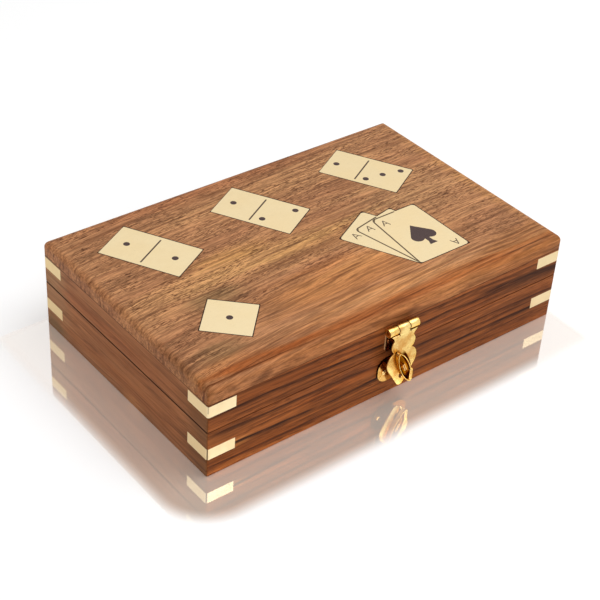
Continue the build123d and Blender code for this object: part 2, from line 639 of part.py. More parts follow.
def make_clasp():
    """All pieces of the clasp. Returns the nails, which are cut from the front boards."""
    mount_nails = [nail(sx * MOUNT_NAIL_X, SEAM + MOUNT_NAIL_RISE, BRASS_SHEET) for sx in (-1, 1)]
    keeper_nails = [nail(sx * KEEPER_NAIL_X, SEAM - KEEPER_NAIL_DROP, KEEPER_PLATE) for sx in (-1, 1)]
    mount, plate = mount_leaf(), keeper()
    for piece in mount_nails:
        mount = mount - piece
    for piece in keeper_nails:
        plate = plate - piece
    PARTS["hasp_mount_leaf"] = mount
    PARTS["hasp_mount_nails"] = Compound(children=mount_nails)
    PARTS["hasp_pin"] = hasp_rod(HASP_PIN, HASP_BARREL_LENGTH, 0)
    PARTS["hasp_drop_leaf"] = drop_leaf()
    PARTS["turn_loop"] = turn_loop()
    PARTS["turn_shank"] = turn_shank()
    PARTS["turn_tongue"] = turn_tongue()
    PARTS["keeper_plate"] = plate
    PARTS["keeper_nails"] = Compound(children=keeper_nails)
    return mount_nails, keeper_nails


# --- Build ---

def make_straps():
    """The eight corner straps. Returns the bands that are cut from the boards."""
    lid_bands, base_bands = [], []
    base, lid = base_form(), lid_form()
    for corner, (sx, sy) in CORNERS.items():
        low = SEAM + LID_STRAP_RISE
        band = corner_band(sx, sy, low)
        PARTS[f"lid_strap_{corner}"] = band & lid
        lid_bands.append(band)
        low = SEAM - BASE_STRAP_DROP - STRAP_HEIGHT
        band = corner_band(sx, sy, low)
        PARTS[f"base_strap_{corner}"] = (band & base) - mitre_slit(sx, sy, low)
        base_bands.append(band)
    return base_bands, lid_bands


def make_box():
    """The whole box, piece by piece."""
    base_hinge_cuts, lid_hinge_cuts = make_hinges()
    mount_nails, keeper_nails = make_clasp()
    base_bands, lid_bands = make_straps()

    PARTS["base_floor_panel"] = floor_panel()
    PARTS["long_divider"] = long_divider()
    PARTS["short_divider"] = short_divider()
    make_linings()
    let_in = [floor_panel(), long_divider(), short_divider()]
    make_frame("base", base_form(), 0, SEAM, let_in + base_bands + base_hinge_cuts + keeper_nails)
    make_frame("lid", lid_form(), SEAM, UNDER_TOP, lid_bands + lid_hinge_cuts + mount_nails)

    top_board = lid_form() & block(-HALF_L, HALF_L, -HALF_W, HALF_W, UNDER_TOP, HEIGHT)
    for pocket in make_inlays():
        top_board = top_board - pocket
    PARTS["lid_top_board"] = top_board


make_box()
os.makedirs("parts", exist_ok=True)
for node, shape in PARTS.items():
    export_step(shape, f"parts/{node}.step")
print(len(PARTS), "nodes")
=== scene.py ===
# Looks of a hinged hardwood games box with flush brass plates, corner straps and a turning clasp.
# Lengths are in metres, and in names that end in _MM in millimetres. X runs along the front, Z up.
import math

import bmesh
import bpy
import numpy as np
from mathutils import Matrix, Vector


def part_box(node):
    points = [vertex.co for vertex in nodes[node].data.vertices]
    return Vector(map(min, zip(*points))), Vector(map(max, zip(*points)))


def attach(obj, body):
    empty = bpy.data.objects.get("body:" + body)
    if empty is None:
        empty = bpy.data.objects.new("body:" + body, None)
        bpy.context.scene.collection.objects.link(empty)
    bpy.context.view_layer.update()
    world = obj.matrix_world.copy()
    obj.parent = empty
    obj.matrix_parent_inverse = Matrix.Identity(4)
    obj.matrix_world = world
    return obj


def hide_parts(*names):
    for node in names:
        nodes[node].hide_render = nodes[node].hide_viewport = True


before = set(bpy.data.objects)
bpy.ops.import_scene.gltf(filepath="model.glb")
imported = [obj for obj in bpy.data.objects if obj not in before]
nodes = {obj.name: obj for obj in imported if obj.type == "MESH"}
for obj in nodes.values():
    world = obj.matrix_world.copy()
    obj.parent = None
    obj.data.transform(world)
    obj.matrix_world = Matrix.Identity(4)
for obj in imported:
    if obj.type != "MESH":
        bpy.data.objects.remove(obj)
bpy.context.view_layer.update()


# --- Camera ---
# It looks down at the box's front left corner. Its place, turn and lens come from the box's own corners
# as the photograph shows them, in a square picture.
CAMERA_PLACE = Vector((-0.368383, -0.431447, 0.425096))
CAMERA_YAW = math.radians(40.3219)
CAMERA_PITCH = math.radians(36.1526)
CAMERA_ROLL = math.radians(3.8141)
PICTURE_SIDE_PX = 600
FOCAL_LENGTH_PX = 1478.784
SENSOR_MM = 36

ahead = Vector((math.sin(CAMERA_YAW) * math.cos(CAMERA_PITCH),
    math.cos(CAMERA_YAW) * math.cos(CAMERA_PITCH), -math.sin(CAMERA_PITCH)))
level_right = Vector((math.cos(CAMERA_YAW), -math.sin(CAMERA_YAW), 0))
level_up = level_right.cross(ahead)
picture_right = level_right * math.cos(CAMERA_ROLL) + level_up * math.sin(CAMERA_ROLL)
picture_up = level_up * math.cos(CAMERA_ROLL) - level_right * math.sin(CAMERA_ROLL)
turn = Matrix((picture_right, picture_up, -ahead)).transposed()

camera_data = bpy.data.cameras.new("camera")
camera_data.sensor_width = SENSOR_MM
camera_data.lens = FOCAL_LENGTH_PX / PICTURE_SIDE_PX * SENSOR_MM
camera = bpy.data.objects.new("camera", camera_data)
camera.matrix_world = Matrix.Translation(CAMERA_PLACE) @ turn.to_4x4()
bpy.context.scene.collection.objects.link(camera)
bpy.context.scene.camera = camera
bpy.context.scene.view_settings.view_transform = "Standard"


# --- Studio ---
# A white table in an even white room, a broad soft lamp overhead and a smaller one at the front left.
# Camera and mirror rays see the room as plain white. The table has a gloss close before the box, and its
# paint there is warmed as a painted reflection of the wood.
ROOM_LIGHT = 0.48
TABLE_SIDE = 8.0
TABLE_GLOSS = 0.58
GLOSS_FADE = (0.019, 0.029)
OVERHEAD_PLACE = (0.5, -0.3, 1.15)
OVERHEAD_SIDE = 1.0
OVERHEAD_POWER = 8.4
SIDE_LAMP_PLACE = (-0.9, -0.9, 0.7)
SIDE_LAMP_SIDE = 0.8
SIDE_LAMP_POWER = 4.5
TABLE_CAMERA_LIFT = 0.24
NEAR_LIFT_LOSS = 0.75                   # the glossy zone is lifted less by this share
BEHIND_FADE = 0.004                     # the zone ends this far behind the box's far faces
TABLE_PAINT = (0.9, 0.9, 0.9, 1)
# Painted reflection: the table's paint close before the box takes this warm colour of the wood.
WARM_REFLECTION_PAINT = (0.9, 0.76, 0.64, 1)
GLOSS_ROUGHNESS = 0.03


def put(tree, kind, inputs=None, **settings):
    """Adds a node. Each of its inputs is given a constant, or an output to be linked from."""
    node = tree.nodes.new(kind)
    for name, value in settings.items():
        setattr(node, name, value)
    for key, value in (inputs or {}).items():
        if isinstance(value, bpy.types.NodeSocket):
            tree.links.new(value, node.inputs[key])
        else:
            node.inputs[key].default_value = value
    return node


def reckon(tree, operation, first, second=0.5, third=0.5, clamp=False):
    """One step of arithmetic on numbers, as an output."""
    inputs = {0: first, 1: second, 2: third}
    return put(tree, "ShaderNodeMath", inputs, operation=operation, use_clamp=clamp).outputs[0]


def vector_step(tree, operation, first, second=(0, 0, 0)):
    """One step of arithmetic on vectors, as an output."""
    return put(tree, "ShaderNodeVectorMath", {0: first, 1: second}, operation=operation).outputs[0]


def length(tree, vector):
    """How long a vector is."""
    return put(tree, "ShaderNodeVectorMath", {0: vector}, operation="LENGTH").outputs["Value"]


def scaled(tree, vector, factor):
    """A vector or colour times a number."""
    return put(tree, "ShaderNodeVectorMath", {0: vector, "Scale": factor}, operation="SCALE").outputs[0]


def joined(tree, x=0.0, y=0.0, z=0.0):
    """The vector of three numbers."""
    return put(tree, "ShaderNodeCombineXYZ", {0: x, 1: y, 2: z}).outputs[0]


def parted(tree, vector):
    """A vector's numbers, by "X", "Y" and "Z"."""
    return put(tree, "ShaderNodeSeparateXYZ", {0: vector}).outputs


def ramp(tree, value, low, high, to_low=0.0, to_high=1.0):
    """A value carried smoothly from one range to another."""
    return put(tree, "ShaderNodeMapRange", {"Value": value, "From Min": low, "From Max": high,
        "To Min": to_low, "To Max": to_high}, interpolation_type="SMOOTHSTEP").outputs[0]


def colour(red, green, blue):
    """A screen colour of 0 to 255 as the linear colour that shaders take."""
    def linear(level):
        share = level / 255
        return share / 12.92 if share <= 0.04045 else ((share + 0.055) / 1.055) ** 2.4
    return (linear(red), linear(green), linear(blue), 1.0)


def new_material(name):
    """An empty material. Returns it with its node tree and its output node."""
    material = bpy.data.materials.new(name)
    material.use_nodes = True
    material.node_tree.nodes.clear()
    return material, material.node_tree, put(material.node_tree, "ShaderNodeOutputMaterial")


world = bpy.data.worlds.new("white_room")
bpy.context.scene.world = world
world.use_nodes = True
world.node_tree.nodes.clear()
path = put(world.node_tree, "ShaderNodeLightPath")
seen = reckon(world.node_tree, "MAXIMUM", path.outputs["Is Camera Ray"],
    reckon(world.node_tree, "MAXIMUM", path.outputs["Is Glossy Ray"],
    path.outputs["Is Transmission Ray"]))
level = put(world.node_tree, "ShaderNodeMapRange", {"Value": seen, "To Min": ROOM_LIGHT, "To Max": 1.0})
room = put(world.node_tree, "ShaderNodeBackground", {"Color": (1, 1, 1, 1), "Strength": level.outputs[0]})
world_out = put(world.node_tree, "ShaderNodeOutputWorld", {"Surface": room.outputs[0]})


def soft_lamp(name, place, side, power):
    """A square lamp that faces the box."""
    lamp_data = bpy.data.lights.new(name, "AREA")
    lamp_data.size = side
    lamp_data.energy = power
    lamp = bpy.data.objects.new(name, lamp_data)
    aim = (Vector((0, 0, 0.02)) - Vector(place)).to_track_quat("-Z", "Y")
    lamp.matrix_world = Matrix.Translation(place) @ aim.to_matrix().to_4x4()
    bpy.context.scene.collection.objects.link(lamp)


soft_lamp("overhead_lamp", OVERHEAD_PLACE, OVERHEAD_SIDE, OVERHEAD_POWER)
soft_lamp("side_lamp", SIDE_LAMP_PLACE, SIDE_LAMP_SIDE, SIDE_LAMP_POWER)

table_white, tree, out = new_material("table_white")
footprint = (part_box("base_right_board")[1][0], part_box("base_back_board")[1][1], 0.0)
where = put(tree, "ShaderNodeTexCoord").outputs["Object"]
past_edge = vector_step(tree, "MAXIMUM", vector_step(tree, "SUBTRACT",
    vector_step(tree, "ABSOLUTE", where), footprint))
away = length(tree, past_edge)
path = put(tree, "ShaderNodeLightPath")
behind = parted(tree, vector_step(tree, "SUBTRACT", where, footprint))
behind = reckon(tree, "MAXIMUM", behind["X"], behind["Y"])
near = reckon(tree, "MULTIPLY", ramp(tree, away, *GLOSS_FADE, 1.0, 0.0),
    ramp(tree, behind, 0.0, BEHIND_FADE, 1.0, 0.0))
# Painted reflection: the paint turns warm close before the box.
reflection_tint = put(tree, "ShaderNodeMix", {0: near, 6: TABLE_PAINT, 7: WARM_REFLECTION_PAINT}, data_type="RGBA")
paint = put(tree, "ShaderNodeBsdfDiffuse", {"Color": reflection_tint.outputs[2]})
gloss = put(tree, "ShaderNodeBsdfGlossy", {"Color": (1, 1, 1, 1), "Roughness": GLOSS_ROUGHNESS})
finish = put(tree, "ShaderNodeMixShader", {0: reckon(tree, "MULTIPLY", near, TABLE_GLOSS),
    1: paint.outputs[0], 2: gloss.outputs[0]})
seen = reckon(tree, "MAXIMUM", path.outputs["Is Camera Ray"], path.outputs["Is Glossy Ray"])
seen = reckon(tree, "MULTIPLY", seen, reckon(tree, "MULTIPLY_ADD", near, -NEAR_LIFT_LOSS, 1.0))
lift = put(tree, "ShaderNodeEmission", {"Strength": reckon(tree, "MULTIPLY", seen, TABLE_CAMERA_LIFT)})
both = put(tree, "ShaderNodeAddShader", {0: finish.outputs[0], 1: lift.outputs[0]})
tree.links.new(both.outputs[0], out.inputs["Surface"])

table_mesh = bpy.data.meshes.new("table")
half = TABLE_SIDE / 2
table_mesh.from_pydata([(-half, -half, 0), (half, -half, 0), (half, half, 0), (-half, half, 0)], [],
    [(0, 1, 2, 3)])
table_mesh.materials.append(table_white)
table = bpy.data.objects.new("table", table_mesh)
bpy.context.scene.collection.objects.link(table)


# --- Boards of the base ---
# Open-pored brown hardwood with dark growth lines, planed, sanded and waxed. Four boards mitred at the
# corners, so the grain runs along X on the front and back, and along Y at the sides.
MM = 1000.0
PORE_DEPTH = 0.00006
WOOD_SHINE = 0.05
SMOOTH_PORES = 0.2                      # the share of the pores left in a smooth patch
MITRE_FADE_MM = (0.5, 0.15)             # the dark of a mitre grows over these distances from it
MITRE_DEPTH = 0.8
FACE_FADE_MM = (0.5, 0.2)               # only what lies this near the outer face has seams
FILLER_CREEP_MM = 0.65
FILLER_BROWN = (58, 32, 18)
LINE_BROWN = (44, 20, 10)


def new_group(name, inputs, outputs):
    """An empty shader group with these sockets. Returns it, what it is given and what it puts out."""
    group = bpy.data.node_groups.new(name, "ShaderNodeTree")
    for socket_name, kind in inputs:
        group.interface.new_socket(socket_name, in_out="INPUT", socket_type="NodeSocket" + kind)
    for socket_name, kind in outputs:
        group.interface.new_socket(socket_name, in_out="OUTPUT", socket_type="NodeSocket" + kind)
    return group, put(group, "NodeGroupInput").outputs, put(group, "NodeGroupOutput").inputs


def stretched(tree, place, along, across, shift=0.0):
    """The place divided by a length along the grain and one across it, as an output."""
    scale = (1 / along, 1 / across, 1 / across)
    return put(tree, "ShaderNodeMapping", {"Vector": place, "Location": (shift, shift, shift),
        "Scale": scale}).outputs[0]


def place_mm(tree, turning=(0, 0, 0)):
    """A piece's own place in millimetres, turned."""
    return put(tree, "ShaderNodeMapping", {"Vector": put(tree, "ShaderNodeTexCoord").outputs["Object"],
        "Rotation": turning, "Scale": (MM, MM, MM)}).outputs[0]


def noise(tree, place, detail=2.0, roughness=0.5):
    """A cloudy value of 0 to 1 at that place."""
    return put(tree, "ShaderNodeTexNoise", {"Vector": place, "Scale": 1.0, "Detail": detail,
        "Roughness": roughness}).outputs[0]


def blend(tree, share, first, second, kind="MIX"):
    """Two colours mixed by a share."""
    return put(tree, "ShaderNodeMix", {0: share, 6: first, 7: second}, data_type="RGBA",
        blend_type=kind, clamp_factor=True).outputs[2]


# The wood's figure, at a place in millimetres with the grain along X. Slow noise bends the grain, noise
# drawn out along it makes broad tones, streaks and fibres, and short dashes of it are the open pores. With
# rings under 1, the tones and streaks are drawn out through the board's thickness too.
wood_figure, given, result = new_group("wood_figure",
    [("Place", "Vector"), ("Light", "Color"), ("Middle", "Color"), ("Dark", "Color"), ("Pore", "Color"),
    ("Streaks", "Float"), ("Pores", "Float"), ("Stretch", "Float"), ("Rings", "Float"),
    ("Fibre", "Float")], [("Colour", "Color"), ("Roughness", "Float"), ("Height", "Float")])
tree = wood_figure
BEND_MM = 7.0
bend = reckon(tree, "MULTIPLY_ADD", noise(tree, stretched(tree, given["Place"], 75, 26)), BEND_MM,
    -BEND_MM / 2)
bent = vector_step(tree, "ADD", given["Place"], joined(tree, y=bend, z=bend))
drawn = vector_step(tree, "DIVIDE", bent, joined(tree, given["Stretch"], 1.0, 1.0))
grown = vector_step(tree, "MULTIPLY", bent, joined(tree, 1.0, 1.0, given["Rings"]))
tone = ramp(tree, noise(tree, stretched(tree, grown, 150, 11, 3.1), 2.0), 0.36, 0.66)
streak = ramp(tree, noise(tree, stretched(tree, grown, 46, 1.6, 7.7), 3.0, 0.6), 0.46, 0.68)
streak = reckon(tree, "MULTIPLY", streak, given["Streaks"], clamp=True)
fibre = noise(tree, stretched(tree, drawn, 22, 1.2, 1.3), 3.0, 0.75)
dash = ramp(tree, noise(tree, stretched(tree, drawn, 2.8, 0.34, 5.9), 1.0), 0.48, 0.66)
crowd = ramp(tree, noise(tree, stretched(tree, bent, 30, 4, 2.2), 1.0), 0.3, 0.6, 0.2, 1.0)
pore = reckon(tree, "MULTIPLY", reckon(tree, "MULTIPLY", dash, crowd), given["Pores"], clamp=True)
shade = blend(tree, tone, given["Middle"], given["Light"])
shade = blend(tree, streak, shade, given["Dark"])
level = ramp(tree, fibre, 0.32, 0.68, -0.3, 0.24)
shade = scaled(tree, shade, reckon(tree, "MULTIPLY_ADD", level, given["Fibre"], 1.0))
shade = blend(tree, pore, shade, given["Pore"])
tree.links.new(shade, result["Colour"])
tree.links.new(ramp(tree, pore, 0, 1, 0.42, 0.62), result["Roughness"])
height = reckon(tree, "SUBTRACT", reckon(tree, "MULTIPLY", fibre, 0.3), pore)
tree.links.new(height, result["Height"])

# One dark growth line along the grain, from a start to an end, each with its height across the grain.
# It wanders a little, is sharp above and fades out below, and adds to the mask that comes in.
growth_line, given, result = new_group("growth_line",
    [("Place", "Vector"), ("Mask", "Float"), ("Start", "Float"), ("Start Height", "Float"),
    ("End", "Float"), ("End Height", "Float"), ("Width", "Float"), ("Depth", "Float")],
    [("Mask", "Float")])
tree = growth_line
WANDER_MM = 2.2
spot = parted(tree, given["Place"])
course = put(tree, "ShaderNodeMapRange", {"Value": spot["X"], "From Min": given["Start"],
    "From Max": given["End"], "To Min": given["Start Height"], "To Max": given["End Height"]}).outputs[0]
wander = noise(tree, joined(tree, reckon(tree, "DIVIDE", spot["X"], 38.0), given["Start Height"]), 1.0)
course = reckon(tree, "MULTIPLY_ADD", wander, WANDER_MM, reckon(tree, "SUBTRACT", course, WANDER_MM / 2))
above = reckon(tree, "SUBTRACT", spot["Y"], course)
width = given["Width"]
sharp = ramp(tree, above, 0.0, reckon(tree, "MULTIPLY", width, 0.55), 1.0, 0.0)
soft = ramp(tree, above, reckon(tree, "MULTIPLY", width, -1.7), 0.0)
begin = ramp(tree, reckon(tree, "SUBTRACT", spot["X"], given["Start"]), -6, 9)
finish = ramp(tree, reckon(tree, "SUBTRACT", given["End"], spot["X"]), -6, 9)
broken = ramp(tree, noise(tree, stretched(tree, given["Place"], 14, 0.8, 4.4), 2.0), 0.3, 0.6, 0.62, 1.0)
line = given["Depth"]
for part in (sharp, soft, begin, finish, broken):
    line = reckon(tree, "MULTIPLY", line, part)
tree.links.new(reckon(tree, "MAXIMUM", line, given["Mask"]), result["Mask"])

# Dark filler or wax in a straight cut from a start to an end, which has crept into what lies beside it. It
# adds to the mask that comes in.
filled_cut, given, result = new_group("filled_cut",
    [("Place", "Vector"), ("Mask", "Float"), ("Start", "Vector"), ("End", "Vector"),
    ("Half Width", "Float")], [("Mask", "Float")])
tree = filled_cut
from_start = vector_step(tree, "MULTIPLY", vector_step(tree, "SUBTRACT", given["Place"],
    given["Start"]), (1, 1, 0))
whole = vector_step(tree, "SUBTRACT", given["End"], given["Start"])
along_cut, whole_squared = (put(tree, "ShaderNodeVectorMath", {0: which, 1: whole},
    operation="DOT_PRODUCT").outputs["Value"] for which in (from_start, whole))
nearest = scaled(tree, whole, reckon(tree, "DIVIDE", along_cut, whole_squared, clamp=True))
aside = length(tree, vector_step(tree, "SUBTRACT", from_start, nearest))
dark = ramp(tree, reckon(tree, "DIVIDE", aside, given["Half Width"]), 0.55, 1.0, 1.0, 0.0)
tree.links.new(reckon(tree, "MAXIMUM", dark, given["Mask"]), result["Mask"])


def cut_mask(tree, place, cuts, half_width, mask=0.0):
    """The mask of cuts in the lid's plane, each a start and an end in millimetres."""
    for start, end in cuts:
        mask = put(tree, "ShaderNodeGroup", {"Place": place, "Mask": mask, "Start": (*start, 0),
            "End": (*end, 0), "Half Width": half_width}, node_tree=filled_cut).outputs[0]
    return mask


# A soft oval patch in which the wood's colour is multiplied by a tint. Its edge is ragged along the grain.
tone_patch, given, result = new_group("tone_patch",
    [("Place", "Vector"), ("Colour", "Color"), ("Middle", "Vector"), ("Half Size", "Vector"),
    ("Tint", "Color")], [("Colour", "Color")])
tree = tone_patch
spot = vector_step(tree, "DIVIDE", vector_step(tree, "SUBTRACT", given["Place"], given["Middle"]),
    given["Half Size"])
spot = vector_step(tree, "MULTIPLY", spot, (1, 1, 0))
reach = length(tree, spot)
ragged = noise(tree, stretched(tree, given["Place"], 30, 3.5, 6.6), 3.0, 0.6)
inside = ramp(tree, reckon(tree, "MULTIPLY_ADD", ragged, 0.9, reach), 0.75, 1.6, 1.0, 0.0)
tinted = blend(tree, inside, given["Colour"], given["Tint"], "MULTIPLY")
tree.links.new(tinted, result["Colour"])


def laid(along, across):
    """The turning that carries a board's place to (along the grain, across it, into the board)."""
    along, across = Vector(along), Vector(across)
    return tuple(Matrix((along, across, along.cross(across))).to_euler())


def wood(name, turning, shades, streaks, pores, stretch=1.0, lines=(), patches=(), shift=(0, 0, 0),
         line_colour=LINE_BROWN, rings=1.0, sweep=(0.0, 0.0), moved=(0, 0, 0), smooth=(), shade_and_glue_lines=(),
         reach=None, cuts=(), fibre=1.0):
    """Waxed wood. Its shades are light, middle, dark and pore. Lines and patches are placed in millimetres
    along and across the grain, after a move. The sweep is the grain's slope at the middle and its change
    a millimetre. Smooth holds oval patches with hardly any pores, by middle and half size. The shade and
    glue lines are the dark line of painted shade along the parting line and the glue line, by height, half
    width and depth, on a frame board's outer face. Its reach is how far from the middle of the box the
    mitres and that face lie. Dark filler has crept into the wood beside the cuts. Fibre is how strongly the
    fibres show."""
    material, tree, out = new_material(name)
    place = place_mm(tree, turning)
    spot = parted(tree, place)
    slope = reckon(tree, "MULTIPLY_ADD", spot["X"], sweep[1], sweep[0])
    swept = reckon(tree, "SUBTRACT", spot["Y"], reckon(tree, "MULTIPLY", spot["X"], slope))
    grain = joined(tree, spot["X"], swept, spot["Z"])
    for along, across, half_along, half_across in smooth:
        from_patch = vector_step(tree, "DIVIDE", vector_step(tree, "SUBTRACT", grain,
            (along, across, 0)), (half_along, half_across, 1))
        from_patch = length(tree, vector_step(tree, "MULTIPLY", from_patch, (1, 1, 0)))
        pores = reckon(tree, "MULTIPLY", pores, ramp(tree, from_patch, 0.5, 1.3, SMOOTH_PORES, 1.0))
    light, middle, dark, pore = (colour(*shade) for shade in shades)
    figure = put(tree, "ShaderNodeGroup", {"Place": vector_step(tree, "ADD", grain, shift),
        "Light": light, "Middle": middle, "Dark": dark, "Pore": pore, "Streaks": streaks,
        "Pores": pores, "Stretch": stretch, "Rings": rings, "Fibre": fibre}, node_tree=wood_figure)

    place = vector_step(tree, "ADD", place, moved)
    shade = figure.outputs["Colour"]
    for along, across, half_along, half_across, tint in patches:
        shade = put(tree, "ShaderNodeGroup", {"Place": place, "Colour": shade,
            "Middle": (along, across, 0), "Half Size": (half_along, half_across, 1),
            "Tint": (*tint, 1)}, node_tree=tone_patch).outputs[0]
    mask = 0.0
    for start, start_height, end, end_height, width, depth in lines:
        mask = put(tree, "ShaderNodeGroup", {"Place": place, "Mask": mask, "Start": start,
            "Start Height": start_height, "End": end, "End Height": end_height, "Width": width,
            "Depth": depth}, node_tree=growth_line).outputs[0]
    if reach:
        joint = ramp(tree, reckon(tree, "ABSOLUTE", spot["X"]), reach[0] - MITRE_FADE_MM[0],
            reach[0] - MITRE_FADE_MM[1], 0, MITRE_DEPTH)
        # Painted shade along the parting line, and the dark glue line, by height.
        for height, half_width, depth in shade_and_glue_lines:
            off = reckon(tree, "ABSOLUTE", reckon(tree, "SUBTRACT", spot["Y"], height))
            joint = reckon(tree, "MAXIMUM", joint, ramp(tree, off, 0.5 * half_width, half_width, depth,
                0.0))
        outer = ramp(tree, reckon(tree, "ABSOLUTE", spot["Z"]), reach[1] - FACE_FADE_MM[0],
            reach[1] - FACE_FADE_MM[1])
        mask = reckon(tree, "MAXIMUM", mask, reckon(tree, "MULTIPLY", joint, outer))
    shade = blend(tree, mask, shade, colour(*line_colour))
    if cuts:
        shade = blend(tree, cut_mask(tree, place, cuts, FILLER_CREEP_MM), shade, colour(*FILLER_BROWN))
    bump = put(tree, "ShaderNodeBump", {"Strength": 0.5, "Distance": PORE_DEPTH,
        "Height": figure.outputs["Height"]})
    wax = put(tree, "ShaderNodeBsdfPrincipled", {"Base Color": shade,
        "Roughness": figure.outputs["Roughness"], "Normal": bump.outputs[0],
        "Specular IOR Level": WOOD_SHINE})
    tree.links.new(wax.outputs[0], out.inputs["Surface"])
    return material


def dress(material, *names):
    """Gives CAD nodes a material."""
    for name in names:
        slots = nodes[name].material_slots
        if not slots:
            nodes[name].data.materials.append(material)
        for slot in slots:
            slot.material = material


ALONG_FRONT = laid((1, 0, 0), (0, 0, 1))
ALONG_SIDE = laid((0, -1, 0), (0, 0, 1))
FRONT_SHADES = ((174, 102, 54), (150, 84, 42), (86, 44, 24), (70, 36, 20))
SIDE_SHADES = ((168, 110, 70), (154, 96, 58), (116, 68, 40), (96, 56, 34))
BOX_HALF_MM = (101.6, 64.65)
# Height of the parting line between base and lid, where a dark line of painted shade is drawn.
PARTING_SHADE_MM = 24.2

# By side: how the wood lies and looks, then the half width and depth of the painted shade in the parting
# seam and of the glue line.
FRONT_LOOK = dict(turning=ALONG_FRONT, shades=FRONT_SHADES, streaks=0.5, pores=0.6, stretch=2.6,
    fibre=0.7, reach=BOX_HALF_MM)
SIDE_LOOK = dict(turning=ALONG_SIDE, shades=SIDE_SHADES, pores=0.3, stretch=3.0,
    line_colour=(58, 30, 16), reach=BOX_HALF_MM[::-1])
BOARD_LOOKS = {
    "front": (FRONT_LOOK, (0.35, 0.7), (0.45, 0.6)),
    "back": (FRONT_LOOK, (0.35, 0.7), (0.45, 0.6)),
    "left": (dict(SIDE_LOOK, streaks=0.6, fibre=0.6), (0.6, 0.95), (0.5, 0.8)),
    "right": (dict(SIDE_LOOK, streaks=0.45, fibre=0.7), (0.5, 0.8), (0.5, 0.8))}

# Growth lines as (start, its height, end, its height, width, depth), heights from the floor.
BASE_FRONT_LINES = [
    (-104, 22.4, -2, 18.3, 1.3, 0.8), (8, 19.6, 104, 16.3, 1.3, 0.8),
    (-100, 13.4, -42, 10.2, 1.8, 1.0), (-44, 10.2, 2, 11.6, 1.6, 1.0), (12, 12.2, 104, 10.4, 1.6, 1.0),
    (-104, 5.3, 0, 4.0, 0.9, 0.7), (10, 5.2, 70, 3.9, 0.9, 0.7),
    (-80, 16.6, -30, 15.4, 0.8, 0.6), (-60, 7.6, 10, 7.2, 0.8, 0.55), (30, 8.2, 96, 6.8, 0.8, 0.6),
    (40, 15.6, 90, 14.4, 0.8, 0.55), (-50, 20.6, 4, 19.4, 0.7, 0.5), (20, 22.0, 80, 20.6, 0.7, 0.5)]
BASE_FRONT_PATCHES = [(0, 1.5, 120, 3.0, (1.15, 1.15, 1.05)), (-30, 16.5, 50, 3.0, (1.06, 0.98, 0.9)),
    (70, 7.5, 40, 3.0, (0.88, 0.86, 0.86)), (-90, 2.0, 14, 3.0, (1.12, 1.1, 1.0)),
    (-50, 9, 90, 12, (0.85, 0.81, 0.72)), (60, 9, 70, 12, (0.82, 0.79, 0.72)),
    (90, 15, 24, 9, (0.74, 0.72, 0.7)), (-35, 13, 22, 4, (0.75, 0.72, 0.72)),
    (-88, 20, 16, 4, (0.7, 0.7, 0.7)), (-88, 12, 12, 3, (1.4, 1.7, 1.8)),
    (26, 20, 22, 3.5, (0.7, 0.68, 0.6)), (-6, 20, 16, 3, (1.4, 1.35, 1.3)),
    (22, 5, 30, 3.5, (0.74, 0.7, 0.64))]
BASE_SIDE_LINES = [(-66, 15.2, 20, 13.8, 0.7, 0.25), (-10, 8.8, 62, 10.4, 0.8, 0.25)]
BASE_SIDE_PATCHES = [(9, 2.0, 10, 4.0, (1.3, 1.35, 1.3)), (-58, 14, 16, 20, (1.05, 1.25, 1.4)),
    (-58, 3, 12, 7, (0.62, 0.7, 0.68)), (66, 12, 22, 34, (0.6, 0.64, 0.62)),
    (0, 1, 80, 4.5, (0.82, 0.86, 0.9))]


def frame_board(piece, lines, patches, shift, moved=(0, 0, 0), glue=None):
    """Dresses a board of the base's or lid's frame, named after its side. Its glue is the height of the
    glue line under the lid's top board."""
    look, parting_shade, glue_line = BOARD_LOOKS[piece.split("_")[1]]
    shade_and_glue_lines = [(PARTING_SHADE_MM, *parting_shade)] + ([(glue, *glue_line)] if glue else [])
    dress(wood(piece.replace("board", "wood"), lines=lines, patches=patches, shift=shift, moved=moved,
        shade_and_glue_lines=shade_and_glue_lines, **look), piece)


frame_board("base_front_board", BASE_FRONT_LINES, BASE_FRONT_PATCHES, (51, 2, 8))
frame_board("base_back_board", BASE_FRONT_LINES, BASE_FRONT_PATCHES, (17, 42, 5), (14, 1.8, 0))
frame_board("base_left_board", BASE_SIDE_LINES, BASE_SIDE_PATCHES, (3, 31, 6))
frame_board("base_right_board", BASE_SIDE_LINES, BASE_SIDE_PATCHES, (31, 11, 9), (22, -3, 0))


# --- Frame of the lid ---
# Four mitred boards of the same wood under the top board, glued to it along a fine dark line.
LID_FRONT_LINES = [
    (-104, 39.2, -2, 35.9, 1.3, 0.8), (6, 37.5, 104, 35.2, 1.2, 0.75),
    (-104, 32.6, -2, 29.0, 1.6, 1.0), (10, 31.2, 84, 29.9, 1.5, 0.95),
    (-90, 27.4, -20, 26.6, 0.8, 0.6), (24, 27.6, 90, 26.4, 0.8, 0.6), (-70, 34.6, -14, 33.2, 0.7, 0.55),
    (18, 34.6, 60, 33.8, 0.7, 0.55), (48, 34.0, 112, 28.4, 4.6, 0.9)]
LID_FRONT_PATCHES = [
    (-35, 30, 18, 2.5, (1.4, 1.35, 1.1)), (60, 30, 18, 2.5, (1.5, 1.4, 1.15)),
    (-40, 34.4, 60, 2.6, (1.06, 0.98, 0.9)), (78, 30.0, 34, 4.2, (0.84, 0.9, 1.0)),
    (30, 28.0, 50, 2.4, (1.06, 0.98, 0.9))]
LID_SIDE_LINES = [(-64, 29.8, 40, 29.2, 0.7, 0.3), (-30, 33.6, 62, 34.4, 0.7, 0.25)]
